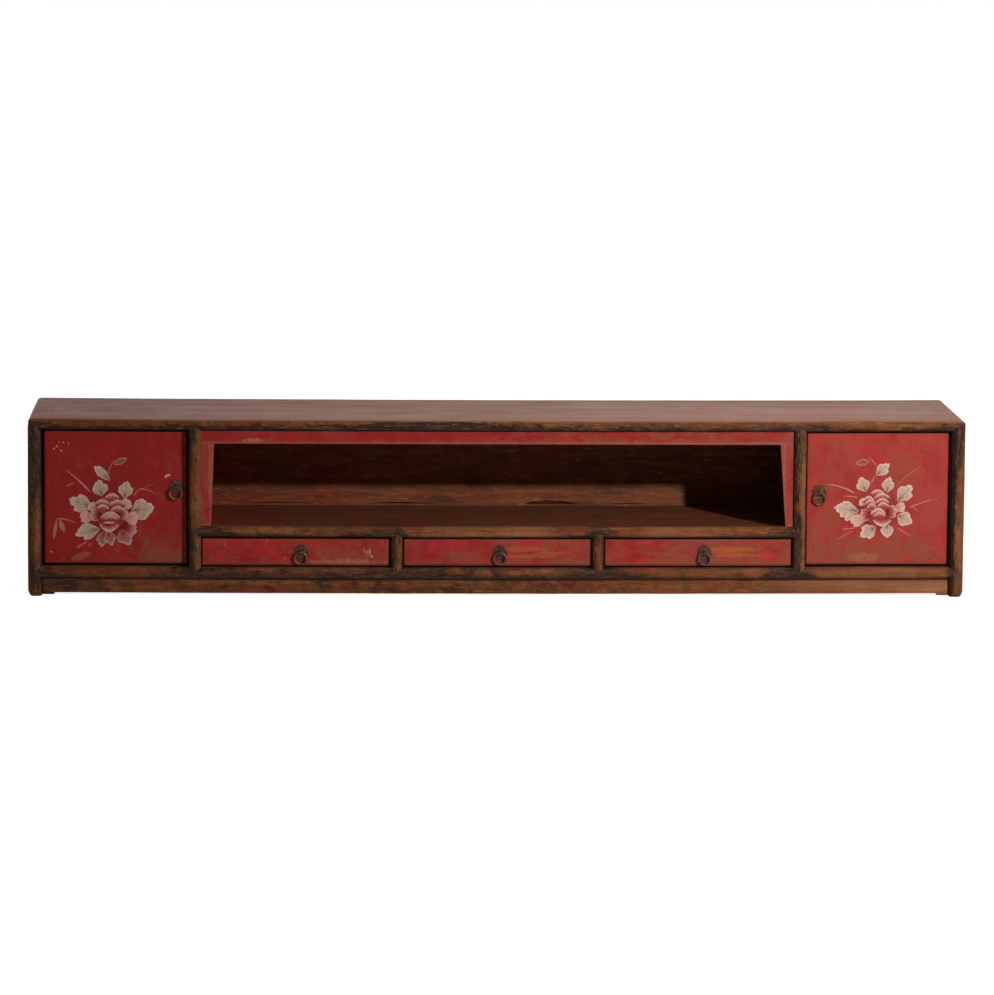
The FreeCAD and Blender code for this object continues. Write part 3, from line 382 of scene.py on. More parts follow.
def red_layers(tree, place, node, look):
    """Colour, roughness and bumps of worn red lacquer on one board."""
    low, high = front_face(node)
    axis = look.grain
    axes = split(tree, place)
    clouds = cloudy(tree, place, 0.075, 5, 0.62, 0.9)
    strokes = streaky(tree, place, axis, 1.7, BRUSH_SQUEEZE, 0.018, 6, 0.68, 1.1)
    fine = streaky(tree, place, axis, 4.1, 0.1, 0.0024, 3, 0.7)
    thin = eased(tree, weighed(tree, (clouds, 0.6), (strokes, 0.4), (look.brick, 1.0)), 0.84, 1.16)
    colour = mixed(tree, thin, CRIMSON, BRICK)
    bright = streaky(tree, place, axis, 9.4, 0.6, 0.045, 5, 0.62, 0.8)
    colour = layered(tree, colour, BRIGHT_RED, bright, 0.48, 0.64, look.bright)
    glaze_left, glaze_right, glaze_low = look.glaze
    sideways = eased(tree, axes[0], low.x, high.x, glaze_left, glaze_right)
    downward = eased(tree, axes[2], low.z, low.z + 0.4 * (high.z - low.z), glaze_low, 0.0)
    worn = streaky(tree, place, axis, 6.1, 0.5, 0.03, 6, 0.68, 1.0)
    glazed = eased(tree, weighed(tree, (worn, 1.0), (sideways, 1.0), (downward, 1.0)), 0.9, 1.16, 0.0, 0.85)
    colour = mixed(tree, glazed, colour, BROWN_GLAZE)
    colour = mixed(tree, 1.0, colour, ramp(tree, fine, BRUSH_STREAKS), "MULTIPLY")
    chips = cloudy(tree, place, 0.009, 5, 0.72, 0.6)
    flecks = weighed(tree, (chips, 1.0), (glazed, 0.1))
    colour = layered(tree, colour, BARE_WOOD, flecks, 0.7, 0.8, 0.4)
    colour = spotted(tree, axes, chips, colour, look.spots)
    rim = edge_distance(tree, axes, low, high)
    rubbed = sums(tree, "MULTIPLY", eased(tree, rim, MM, 6 * MM, look.rubbed, 0.0),
                  eased(tree, chips, 0.32, 0.68, 0.3, 1.0))
    colour = mixed(tree, rubbed, colour, RUBBED_RIM)
    # Painted shade in the seam round the board, within a few millimetres of its edge
    seam = eased(tree, rim, MM, 4 * MM, look.seam, 0.0)
    colour = mixed(tree, seam, colour, SEAM_SHADE)
    colour = layered(tree, colour, SOOT, cloudy(tree, place, 0.0045, 3, 0.65), 0.68, 0.76, 0.4)
    peg = eased(tree, axes[2], low.z - 2 * MM, low.z - MM, 1.0, 0.0)
    colour = mixed(tree, peg, colour, HIDDEN_WOOD)
    roughness = weighed(tree, (strokes, 0.22), (1.0, 0.42))
    bumps = weighed(tree, (strokes, 0.6), (fine, 0.4), (rubbed, -0.6))
    return colour, roughness, bumps


def red_finish(node, look):
    """Worn red lacquer for one board of the frame."""
    material, tree, shader, place = start_finish(node.replace("_", " "))
    colour, roughness, bumps = red_layers(tree, place, node, look)
    surface(tree, shader, colour, roughness, bumps, relief=0.5 * MM, shine=0.09)
    return material


print("the look of a red board has", len(Look._fields), "settings")

# %% [markdown]
# ## Top, bare inner wood and bronze
# The top is the same wood without the dark lacquer, faded and scrubbed pale. The inside is unpainted:
# brown, dry and streaky, with old red, most of it at the left, and smears of dirt. The pulls are bronze
# that has gone dark, with green in the hollows and a warm shine where fingers rub.

# %% Top, inner wood and bronze finishes
INNER_STOPS = [(0.25, rgb(80, 42, 27)), (0.45, rgb(120, 69, 45)), (0.62, rgb(148, 90, 61)),
               (0.8, rgb(186, 125, 85))]
OLD_RED = rgb(142, 58, 42)
PALE_SCRATCH = rgb(190, 132, 80)
SMEARED_DIRT = rgb(80, 50, 40)
VERDIGRIS = rgb(46, 48, 34)
BRONZE_METALLIC = 0.4


def top_finish(name):
    """The worn, faded top."""
    material, tree, shader, place = start_finish(name)
    colour, grain = top_wood_colour(tree, place)
    roughness = eased(tree, cloudy(tree, place, 0.08, 4, 0.6), 0.3, 0.7, 0.54, 0.66)
    surface(tree, shader, colour, roughness, grain, relief=0.5 * MM, shine=0.07)
    return material


def inner_finish(name, axis, darkening=0.7):
    """Bare brown boards with a little old red on them, and some dirt."""
    material, tree, shader, place = start_finish(name)
    streaks = along_grain(tree, place, axis, 2.3)
    broad = cloudy(tree, streaks, 0.02, 5, 0.62, 0.7)
    fine = cloudy(tree, streaks, 0.003, 3, 0.7)
    grain = weighed(tree, (broad, 0.6), (fine, 0.4))
    stains = weighed(tree, (cloudy(tree, place, 0.1, 5, 0.66, 0.6), 1.0),
                     (eased(tree, split(tree, place)[0], -0.6, 0.4, 0.1, -0.1), 1.0))
    colour = layered(tree, ramp(tree, grain, INNER_STOPS), OLD_RED, stains, 0.46, 0.66, 0.7)
    scratches = streaky(tree, place, axis, 5.9, 0.15, 0.004, 4, 0.66, 0.8)
    colour = layered(tree, colour, PALE_SCRATCH, scratches, 0.56, 0.68, 0.6)
    smears = streaky(tree, place, axis, 4.7, 0.2, 0.022, 6, 0.7, 0.5)
    colour = layered(tree, colour, SMEARED_DIRT, smears, 0.38, 0.72, darkening)
    roughness = eased(tree, broad, 0.3, 0.7, 0.6, 0.78)
    surface(tree, shader, colour, roughness, grain, relief=0.7 * MM, shine=0.06)
    return material


def bronze_finish(name, dark, middle, rubbed):
    """Old bronze with green hollows and rubbed high places."""
    material, tree, shader, place = start_finish(name)
    tarnish = cloudy(tree, place, 0.006, 5, 0.65)
    colour = ramp(tree, tarnish, [(0.3, dark), (0.5, middle), (0.72, rubbed)])
    colour = layered(tree, colour, VERDIGRIS, cloudy(tree, place, 0.011, 4, 0.7, 0.5), 0.5, 0.64, 0.5)
    bumps = weighed(tree, (cloudy(tree, place, 0.0012, 3, 0.6), 1.0), (tarnish, 1.0))
    roughness = eased(tree, tarnish, 0.3, 0.7, 0.6, 0.4)
    surface(tree, shader, colour, roughness, bumps, relief=0.25 * MM, shine=0.16)
    shader.inputs["Metallic"].default_value = BRONZE_METALLIC
    return material


top_satin = top_finish("worn top")
ring_bronze = bronze_finish("rubbed bronze", rgb(54, 34, 25), rgb(92, 61, 47), rgb(138, 102, 86))
plate_bronze = bronze_finish("tarnished bronze", rgb(48, 27, 20), rgb(78, 45, 34), rgb(108, 70, 56))
inner_long = inner_finish("inner boards along the length", "X")
inner_deep = inner_finish("inner boards from front to back", "Y")
inner_tall = inner_finish("inner boards upright", "Z")
niche_floor = inner_finish("niche floor", "X", darkening=0.76)
print("made", top_satin.name, "and", ring_bronze.name)

# %% [markdown]
# ## Hand-made surfaces
# A CAD solid is perfectly flat with knife-sharp edges. Real planed and scraped wood wanders by a few
# tenths of a millimetre, its edges and corners are rounded by use, and a long cabinet sags in the middle. A
# Displace modifier could move each piece on its own, but then the tight joints would open. So one smooth
# wander, read from the place in space, moves every piece alike, and the joints stay closed. Its noise
# starts from the clock unless it is given a seed. It fades out at the door pegs, which have to turn, and
# is the same all along a drawer's way. The copy of a CAD mesh is first merged, its flat triangles are
# dissolved back to clean faces, the long sharp edges are bevelled, apart from those that end where two
# solids touch, and planes slice it so that it has vertices to move.

# %% Hand-made copies of CAD nodes
WANDER_SEED = 7
WANDER = 0.45 * MM
WANDER_LENGTH = 0.11
QUICKER = 4
SAG = 2.6 * MM
CORNER_RADIUS = 12 * MM
TRUE_NEAR_HINGE = 20 * MM
SHARP = math.radians(35)
FLAT = math.radians(1)
EASE = 1.2 * MM
EASE_SEGMENTS = 3
SHORTEST_IN_EASES = 8
CELL = 20 * MM
hinge_x = next(joint["pos_m"][0] for joint in frame["joints"] if joint["name"] == "right_door_hinge")
noise.seed_set(WANDER_SEED)


def corner_wear(point):
    """How far an outer corner, as seen from the front, has been knocked round."""
    side = CORNER_RADIUS - (half_width - abs(point.x))
    up = max(CORNER_RADIUS - (height - point.z), 0) - max(CORNER_RADIUS - point.z, 0)
    far = math.hypot(side, up)
    if side <= 0 or far <= CORNER_RADIUS:
        return Vector((0, 0, 0))
    outward = Vector((math.copysign(side, point.x), 0, up))
    return outward * (CORNER_RADIUS / far - 1)


def wander(point):
    """How far the hand-made, sagging and worn surface lies from the true one."""
    slow = noise.noise_vector(point / WANDER_LENGTH)
    quick = noise.noise_vector(point / (WANDER_LENGTH / QUICKER))
    uneven = WANDER * min(abs(abs(point.x) - hinge_x) / TRUE_NEAR_HINGE, 1)
    sag = SAG * (1 - (point.x / half_width) ** 2)
    return (slow + quick / QUICKER) * uneven - Vector((0, 0, sag)) + corner_wear(point)


def slice_up(mesh, axis, cell):
    """Cut a mesh with parallel planes, one per cell along an axis."""
    places = [vert.co[axis] for vert in mesh.verts]
    low, high = min(places), max(places)
    normal = Vector((0, 0, 0))
    normal[axis] = 1
    cells = round((high - low) / cell)
    for count in range(1, cells):
        parts = [*mesh.verts, *mesh.edges, *mesh.faces]
        bmesh.ops.bisect_plane(mesh, geom=parts, plane_co=normal * (low + count * (high - low) / cells),
                               plane_no=normal, dist=MERGE)


def soften(mesh, ease, cell, slides=False):
    """Round the long sharp edges, leaving those of scribed joints as cut, and let the surface wander."""
    sharp = [edge for edge in mesh.edges if edge.is_manifold and all(vert.is_manifold for vert in edge.verts)
             and edge.calc_length() > SHORTEST_IN_EASES * ease and edge.calc_face_angle() > SHARP]
    if sharp:
        bmesh.ops.bevel(mesh, geom=sharp, offset=ease, affect="EDGES", segments=EASE_SEGMENTS, profile=0.5,
                        material=-1, clamp_overlap=False)
    for axis in range(3):
        slice_up(mesh, axis, cell)
    for vert in mesh.verts:
        place = Vector((vert.co.x, 0, vert.co.z)) if slides else vert.co
        vert.co += wander(place)


def finish_piece(mesh, name, material, body, slot, *stands_for):
    """Turn a bmesh into a smooth shaded piece that rides on a CAD body."""
    data = bpy.data.meshes.new(name)
    mesh.to_mesh(data)
    mesh.free()
    for face in data.polygons:
        face.use_smooth = True
    data.set_sharp_from_angle(angle=SHARP)
    data.materials.append(material)
    piece = bpy.data.objects.new(name, data)
    bpy.context.scene.collection.objects.link(piece)
    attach(piece, body)
    if stands_for:
        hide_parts(*stands_for)


def worn_copy(node, material, slot, ease=EASE, cell=CELL, slides=False):
    """A softened, uneven stand-in for a CAD node; one that slides is uneven alike all along its way."""
    mesh = bmesh.new()
    mesh.from_mesh(nodes[node].data)
    bmesh.ops.remove_doubles(mesh, verts=mesh.verts, dist=MERGE)
    bmesh.ops.dissolve_limit(mesh, angle_limit=FLAT, verts=mesh.verts, edges=mesh.edges)
    soften(mesh, ease, cell, slides)
    finish_piece(mesh, f"worn_{node}", material, body_of_node[node], slot, node)


print("surfaces wander by", WANDER / MM, "mm")

# %% [markdown]
# ## Frame members
# Each member gets its own list of places, read off the photograph: where the dark lacquer is still
# thick and where the wood shows. Places are metres from the middle of the cabinet for rails, and metres
# above the floor for posts.

# %% Frame members
FLUSH_EASE = 0.1 * MM
FRAME_CELL = 10 * MM


def middle_of(node, axis):
    """The middle of a CAD node's box along an axis."""
    low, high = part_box(node)
    return (low[axis] + high[axis]) / 2


inner_x = middle_of("inner_right_post", 0)
divider_x = middle_of("right_divider", 0)
shelf_z = middle_of("shelf_rail", 2)
bottom_z = middle_of("bottom_front_rail", 2)

top_rail_places = [(-half_width, 0.65), (-0.9, 0.4), (-inner_x, 0.65), (-0.5, 0.5), (-0.3, 0.65),
                   (-0.24, 1.0), (-0.06, 1.15), (0.02, 0.6), (0.15, 0.55), (0.45, 0.4), (inner_x, 0.6),
                   (0.8, 0.25), (0.9, 0.3), (half_width, 0.9)]
bottom_rail_places = [(-half_width, 0.75), (-0.9, 0.45), (-0.8, 0.3), (-inner_x, 0.75), (-0.5, 0.5),
                      (-0.3, 0.58), (-divider_x, 0.85), (-0.08, 0.58), (0.12, 0.48), (divider_x, 0.85),
                      (0.36, 0.3), (0.54, 0.4), (inner_x, 0.9), (0.72, -0.1), (0.88, -0.25), (0.94, 0.2),
                      (half_width, 0.85)]
shelf_rail_places = [(-inner_x, 0.9), (-0.5, 0.45), (-0.4, 0.3), (-divider_x, 0.7), (-0.15, -0.3),
                     (0.1, -0.3), (divider_x, 0.8), (0.33, -0.3), (0.52, 0.0), (inner_x, 0.9)]
left_post_places = [(0, 0.5), (bottom_z, 0.7), (0.09, 0.4), (0.16, 0.35), (0.22, 0.6), (0.3, 0.8),
                    (height, 0.85)]
right_post_places = [(0, 0.15), (bottom_z, 0.55), (0.09, 0.3), (0.16, 0.4), (0.24, 0.45), (0.3, 0.65),
                     (height, 0.85)]
inner_left_places = [(0, 0.7), (bottom_z, 0.65), (0.09, 0.5), (shelf_z, 0.7), (0.19, -0.2), (0.26, 0.0),
                     (0.31, 0.5), (height, 0.65)]
inner_right_places = [(0, 0.75), (bottom_z, 0.75), (0.09, 0.6), (shelf_z, 0.85), (0.19, 0.4), (0.26, 0.5),
                      (0.31, 0.8), (height, 0.9)]
divider_places = [(bottom_z - 0.02, 0.8), (0.08, 0.5), (0.11, 0.45), (shelf_z + 0.02, 0.9)]
apron_places = [(-half_width, 0.75), (-0.9, 0.55), (-0.75, 0.35), (-0.2, 0.45), (0.2, 0.4), (0.5, 0.1),
                (0.75, -0.4), (half_width, -0.35)]
end_places = [(-half_depth, 0.7), (-0.1, 0.35), (0.1, 0.4), (half_depth, 0.75)]
back_rail_places = [(-half_width, 0.8), (-0.5, 0.5), (0, 0.4), (0.5, 0.55), (half_width, 0.8)]

frame_members = {
    "top_front_rail": frame_finish("top front rail", "X", top_rail_places, top_face=True, lacquer_and_shade_below=0.5,
                                   broken=1.3),
    "bottom_front_rail": frame_finish("bottom front rail", "X", bottom_rail_places, broken=0.6),
    "shelf_rail": frame_finish("shelf rail", "X", shelf_rail_places, lacquer_and_shade_below=0.3, broken=1.2),
    "front_apron": frame_finish("kick board", "X", apron_places, broken=0.6),
    "front_left_post": frame_finish("left corner post", "Z", left_post_places, POST_SHADED_SIDES[:1], broken=1.4),
    # The right post's inner side, away from the key lamp, gets painted shade, and its outer side painted light
    "front_right_post": frame_finish("right corner post", "Z", right_post_places, ((0, -1.7),),
                                     painted_side_light=0.4),
    "back_posts": frame_finish("back posts", "Z", left_post_places, ()),
    "inner_left_post": frame_finish("inner left post", "Z", inner_left_places, POST_SHADED_SIDES[1:],
                                    broken=1.5, painted_side_light=0.3),
    "inner_right_post": frame_finish("inner right post", "Z", inner_right_places, POST_SHADED_SIDES[1:],
                                     broken=1.2, painted_side_light=0.6),
    "left_divider": frame_finish("drawer dividers", "Z", divider_places, POST_SHADED_SIDES, broken=1.5,
                                 painted_side_light=0.3),
    "top_left_rail": frame_finish("top end rails", "Y", end_places, top_face=True),
    "bottom_end_rails": frame_finish("bottom end rails", "Y", end_places),
    "top_back_rail": frame_finish("top back rail", "X", back_rail_places, top_face=True),
}
frame_members.update({
    "right_divider": frame_members["left_divider"],
    "top_right_rail": frame_members["top_left_rail"],
    "end_aprons": frame_members["bottom_end_rails"],
    "bottom_back_rail": frame_members["top_back_rail"],
    "left_side_panel": frame_members["bottom_end_rails"],
    "right_side_panel": frame_members["bottom_end_rails"],
})
for node, finish in frame_members.items():
    flush_with_panel = node.startswith("top")
    worn_copy(node, finish, "frame_wood", ease=FLUSH_EASE if flush_with_panel else EASE, cell=FRAME_CELL)
print(len(frame_members), "frame members dressed")

# %% [markdown]
# ## Red boards
# Doors and the side boards of the niche have an upright grain, drawer fronts and the niche's top board a
# level one. Each board's look says how brick-coloured and how bright it is, how far dirt and wear have
# browned its left end, right end and lower edge, how much its edges are rubbed, and how much painted
# shade darkens the seam around it. Single worn spots are listed: where each is, half its width and height,
# how strong it is and its colour. Hands have left a dull stain around each pull.

# %% Red boards
RED_EASE = 1.5 * MM
FASCIA_EASE = 0.5 * MM
RED_CELL = 6 * MM
STAIN_HALF_WIDTH = 17 * MM
STAIN_OVERLAP = 1.2
STAIN_SHARE = 0.85


def pull_stain(name):
    """The stain that hands leave around a pull, as a spot on its board."""
    ring_low, ring_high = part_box(f"{name}_pull_ring")
    plate_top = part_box(f"{name}_pull_plate")[1].z
    middle_x = (ring_low.x + ring_high.x) / 2
    middle_z = (ring_low.z + plate_top) / 2
    reach = STAIN_OVERLAP * (plate_top - middle_z)
    return (middle_x, middle_z, STAIN_HALF_WIDTH, reach, STAIN_SHARE, HAND_DIRT)


left_door_spots = [(-0.7087, 0.0832, 0.05, 0.02, 0.6, BROWN_GLAZE), pull_stain("left_door")]
right_door_spots = [(0.9079, 0.103, 0.03, 0.03, 0.6, BROWN_GLAZE),
                    (0.7195, 0.1698, 0.022, 0.03, 0.6, BROWN_GLAZE),
                    (0.7855, 0.0833, 0.04, 0.013, 0.3, BARE_WOOD),
                    (0.8725, 0.2717, 0.045, 0.045, 0.5, BROWN_GLAZE), pull_stain("right_door")]
left_drawer_spots = [(-0.2725, 0.092, 0.0022, 0.011, 0.65, OLD_GROUND),
                     (-0.2675, 0.085, 0.004, 0.004, 0.6, OLD_GROUND),
                     (-0.279, 0.0915, 0.0018, 0.008, 0.5, OLD_GROUND),
                     (-0.285, 0.096, 0.0015, 0.006, 0.4, OLD_GROUND),
                     (-0.3249, 0.0709, 0.08, 0.009, 0.55, BARE_WOOD),
                     (-0.3463, 0.0924, 0.055, 0.018, 0.6, BROWN_GLAZE), pull_stain("left_drawer")]
middle_drawer_spots = [(0.06, 0.1, 0.06, 0.007, 0.65, WORN_ORANGE),
                       (0.07, 0.085, 0.07, 0.005, 0.65, WORN_ORANGE),
                       (0.12, 0.092, 0.05, 0.004, 0.5, WORN_ORANGE),
                       (-0.0728, 0.0842, 0.045, 0.016, 0.7, BROWN_GLAZE),
                       (0.0168, 0.1167, 0.03, 0.006, 0.6, BROWN_GLAZE), pull_stain("middle_drawer")]
right_drawer_spots = [(0.38, 0.09, 0.05, 0.02, 0.5, BROWN_GLAZE),
                      (0.5, 0.101, 0.07, 0.006, 0.7, WORN_ORANGE),
                      (0.515, 0.087, 0.06, 0.005, 0.7, WORN_ORANGE),
                      (0.47, 0.094, 0.05, 0.004, 0.5, WORN_ORANGE), pull_stain("right_drawer")]
top_fascia_spots = [(-0.5244, 0.3336, 0.026, 0.0055, 0.7, BARE_WOOD)]
left_fascia_spots = [(-0.611, 0.25, 0.006, 0.12, 0.6, RUBBED_RIM)]
right_fascia_spots = [(0.612, 0.25, 0.005, 0.12, 0.5, RUBBED_RIM)]
red_looks = {
    "left_door_panel": Look("Z", 0.34, 0.3, (0.2, 0.4, 0.16), 0.35, 0.8, left_door_spots),
    "right_door_panel": Look("Z", 0.56, 0.3, (0.38, 0.3, 0.26), 0.35, 0.8, right_door_spots),
    "left_drawer_front": Look("X", 0.46, 0.7, (0.38, 0.48, 0.12), 0.4, 0.6, left_drawer_spots),
    "middle_drawer_front": Look("X", 0.48, 0.8, (0.34, 0.54, 0.12), 0.4, 0.6, middle_drawer_spots),
    "right_drawer_front": Look("X", 0.5, 0.8, (0.44, 0.54, 0.12), 0.4, 0.6, right_drawer_spots),
    "niche_top_fascia": Look("X", 0.4, 0.35, (0.34, 0.54, 0.1), 0.6, 0.0, top_fascia_spots),
    "niche_left_fascia": Look("Z", 0.46, 0.3, (0.54, 0.56, 0.0), 0.7, 0.0, left_fascia_spots),
    "niche_right_fascia": Look("Z", 0.48, 0.15, (0.52, 0.5, 0.0), 0.7, 0.0, right_fascia_spots),
}
for node, look in red_looks.items():
    ease = FASCIA_EASE if "fascia" in node else RED_EASE
    worn_copy(node, red_finish(node, look), "red_lacquer", ease, RED_CELL)
print(len(red_looks), "red boards")

# %% [markdown]
# ## Painted peonies
# Each door carries a peony with leaves, buds and twigs, as on much painted northern furniture. A texture
# could hold it, but sheets of paint are easier to lay out one by one and stay sharp at any distance. Their
# colours are painted on the vertices, from deep crimson at the base of a petal to a pale rim, so a petal
# in front of another shows as a pale arc with a shadow under it. A rim is a formula: how far the petal or
# leaf reaches, for each share of the way across it from -1 to 1.

# %% Paint colours and rims
PALE = rgb(229, 179, 164)
PINK = rgb(206, 136, 126)
TWIG = rgb(216, 122, 112)
ROSE = rgb(176, 80, 76)
DEEP = rgb(126, 30, 34)
SHADOW = rgb(92, 26, 22)
LEAF = rgb(207, 171, 151)
MAUVE = rgb(172, 106, 99)
LEAF_EDGE = rgb(231, 195, 177)
VEIN = rgb(98, 74, 58)
OLIVE = rgb(138, 108, 80)
OCHRE = rgb(204, 142, 106)
INNER_PETAL = [(0, DEEP), (0.22, ROSE), (0.42, ROSE), (0.62, PINK), (0.84, PALE), (1, PALE)]
OUTER_PETAL = [(0, ROSE), (0.4, PINK), (0.85, PALE), (1, PALE)]
SIDE_PETAL = [(0, DEEP), (0.4, DEEP), (0.65, ROSE), (0.85, PINK), (1, PALE)]
BLOOM_GROUND = [(0, DEEP), (0.6, ROSE), (0.85, DEEP), (1, ROSE)]
FLOWER_SHADOW = [(0, SHADOW), (0.55, (*SHADOW[:3], 0.6)), (1, (*SHADOW[:3], 0))]
LEAF_TONES = [(0, VEIN), (0.2, OLIVE), (0.5, LEAF), (0.8, LEAF), (0.94, LEAF_EDGE), (1, LEAF_EDGE)]
MAUVE_LEAF = [(0, SHADOW), (0.4, ROSE), (0.55, MAUVE), (0.8, MAUVE), (0.93, LEAF), (1, LEAF)]


def toned(stops, share):
    """The colour at a share of the way through a list of stops."""
    for (low, under), (high, over) in zip(stops, stops[1:]):
        if share <= high:
            return Vector(under).lerp(Vector(over), max(share - low, 0) / (high - low))
    return Vector(stops[-1][1])


def petal_rim(across):
    """A round rim with three soft scallops."""
    return 1 - 0.3 * abs(across) ** 3 - 0.05 * math.sin(1.5 * math.pi * across) ** 2


def leaf_rim(across):
    """A broad rim with a point, two blunt side lobes and small teeth."""
    lobes = 0.14 * abs(math.cos(1.25 * math.pi * across))
    teeth = 0.06 * abs(math.cos(4.5 * math.pi * across))
    return (0.78 + lobes + teeth) * (1 - 0.45 * across ** 2) + 0.08 * (1 - abs(across)) ** 2


def blade_rim(across):
    """The rim of a plain pointed leaf."""
    return 1 - 0.8 * abs(across) ** 1.4


print("a petal in", len(INNER_PETAL), "tones, a leaf in", len(LEAF_TONES))

# %% [markdown]
# ## A brush for the doors
# Every petal and leaf is a grid bent into a fan: one side of the grid shrinks to the base, the other
# becomes the rim. Twigs are grids drawn along bent lines, and buds are dabs with two pointed ends. Each
# sheet lies a hair's breadth in front of the one before, as coats of paint do, and all of them follow the
# uneven board. Places are millimetres from the middle of the flower, and aims are degrees from straight
# up. The paint's material has the door's own red under it, so that scratches show the door.

# %% A brush for the doors
FILM = 0.15 * MM
FILM_STEP = 0.015 * MM
# Cells across and along each kind of sheet
FAN_GRID = (48, 12)
ARC_GRID = (36, 10)
GROUND_GRID = (40, 8)
STROKE_GRID = (2, 20)
DROP_GRID = (4, 14)
RAGGED_RIM = 0.1
RAGGED_GROUND = 0.15
STREAKED = 0.12
LEAF_VEINS = (0, -0.42, 0.42, -0.82, 0.82)
VEIN_HALF_WIDTH = 0.07
VEIN_SHARE = 0.6
BRUSH_PRESS = 0.85
DAB_STOPS = [(0.3, (0.7, 0.66, 0.62, 1)), (0.55, (1, 1, 1, 1)), (0.75, (1.1, 1.1, 1.1, 1))]


class Painting:
    """Paint on a door: sheets that each lie a little in front of the one before."""

    def __init__(self, door, centre):
        self.door = door
        self.centre = centre
        self.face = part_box(f"{door}_panel")[0].y
        self.sheets = 0
        self.mesh = bmesh.new()
        self.paint = self.mesh.verts.layers.float_color.new("paint")

    def sheet(self, across, along, shape):
        """A grid bent into a shape, which gives millimetres and a colour for two shares."""
        grid = bmesh.ops.create_grid(self.mesh, x_segments=across, y_segments=along, size=1)
        self.sheets += 1
        depth = self.face - FILM - self.sheets * FILM_STEP
        for vert in grid["verts"]:
            x, z, colour = shape(vert.co.x, (vert.co.y + 1) / 2)
            flat = Vector((self.centre.x + x * MM, self.face, self.centre.z + z * MM))
            vert.co = flat + wander(flat) + Vector((0, depth - self.face, 0))
            vert[self.paint] = colour

    def fan(self, base, aim, reach, spread, rim, colour_at):
        """A petal or leaf that opens from its base."""
        def shape(across, along):
            turn = math.radians(aim + across * spread)
            ragged = 1 + RAGGED_RIM * noise.noise(Vector((across * 4, reach, aim)))
            far = reach * rim(across) * along * ragged
            place = Vector((base[0] + math.sin(turn) * far, base[1] + math.cos(turn) * far))
            return place.x, place.y, colour_at(across, along)
        self.sheet(*FAN_GRID, shape)

    def petal(self, base, aim, reach, spread, tones):
        """A petal with a scalloped rim that fades to the sides, streaked from base to rim."""
        def colour_at(across, along):
            streak = STREAKED * noise.noise(Vector((across * 7, reach, aim)))
            return toned(tones, along * (1 - 0.16 * across ** 2 + streak))
        self.fan(base, aim, reach, spread, petal_rim, colour_at)

    def crescent(self, top, half, rise, thick):
        """A petal seen from the front: an arc with a pale rim above, darker below."""
        def shape(across, along):
            rim = top[1] - rise * across ** 2 - 0.8 * math.sin(2.5 * math.pi * across) ** 2
            depth = thick * (1 - along) * math.sqrt(1 - across ** 2)
            streak = STREAKED * noise.noise(Vector((across * 6, *top)))
            return top[0] + half * across, rim - depth, toned(INNER_PETAL, along * (1 + streak))
        self.sheet(*ARC_GRID, shape)

    def ground(self, middle, half_x, half_z, tones):
        """A dark oval under the petals."""
        def shape(across, along):
            way = Vector((math.sin(math.pi * across), math.cos(math.pi * across), 0))
            far = along * (1 + RAGGED_GROUND * noise.noise(way))
            x = middle[0] + half_x * far * way.x
            z = middle[1] + half_z * far * way.y
            return x, z, toned(tones, along)
        self.sheet(*GROUND_GRID, shape)

    def leaf(self, base, aim, reach, spread, rim=leaf_rim, tones=LEAF_TONES):
        """A leaf with a pale edge and dark veins."""
        def colour_at(across, along):
            colour = toned(tones, max(along, abs(across) - 0.05))
            on_vein = max(1 - abs(across - vein) / VEIN_HALF_WIDTH for vein in LEAF_VEINS)
            return colour.lerp(Vector(VEIN), max(on_vein, 0) * VEIN_SHARE * (1 - along ** 2))
        self.fan(base, aim, reach, spread, rim, colour_at)

    def stroke(self, start, bend, end, thick, thin, cover=0.9, colour=TWIG):
        """A brush stroke along a bent line, tapering from thick to thin."""
        start, bend, end = Vector(start), Vector(bend), Vector(end)

        def shape(across, along):
            place = start * (1 - along) ** 2 + bend * (2 * along * (1 - along)) + end * along ** 2
            way = ((bend - start) * (1 - along) + (end - bend) * along).normalized()
            half = (thick + (thin - thick) * along) * BRUSH_PRESS * (1 - (2 * along - 1) ** 6)
            place += Vector((-way.y, way.x)) * (across * half)
            return place.x, place.y, (*colour[:3], cover)
        self.sheet(*STROKE_GRID, shape)

    def drop(self, start, end, width, colour, cover=0.9):
        """A dab of the brush, pointed at both ends."""
        start, end = Vector(start), Vector(end)
        way = (end - start).normalized()

        def shape(across, along):
            half = width / 2 * math.sin(math.pi * along) ** 0.7
            place = start.lerp(end, along) + Vector((-way.y, way.x)) * (across * half)
            return place.x, place.y, (*colour[:3], cover)
        self.sheet(*DROP_GRID, shape)

    def finish(self, material):
        """Make the painting a piece on its door."""
        self.mesh.normal_update()
        turned = [face for face in self.mesh.faces if face.normal.y > 0]
        bmesh.ops.reverse_faces(self.mesh, faces=turned)
        finish_piece(self.mesh, f"{self.door}_peony", material, self.door, "red_lacquer")


def painted_finish(door):
    """The door's red lacquer with the painted colours over it, scratched in places."""
    material, tree, shader, place = start_finish(f"{door} peony")
    red, roughness, bumps = red_layers(tree, place, f"{door}_panel", red_looks[f"{door}_panel"])
    paint = add_node(tree, "ShaderNodeVertexColor", {}, layer_name="paint").outputs
    dabs = ramp(tree, cloudy(tree, place, 0.0032, 4, 0.65), DAB_STOPS)
    colour = mixed(tree, 1.0, paint["Color"], dabs, "MULTIPLY")
    scratches = streaky(tree, place, "Z", 3.3, BRUSH_SQUEEZE, 0.006, 5, 0.7)
    share = sums(tree, "MULTIPLY", paint["Alpha"], eased(tree, scratches, 0.56, 0.7, 1.0, 0.45))
    surface(tree, shader, mixed(tree, share, red, colour), roughness, bumps, relief=0.4 * MM, shine=0.09)
    return material


print("each coat of paint lies", FILM_STEP / MM, "mm in front of the last")

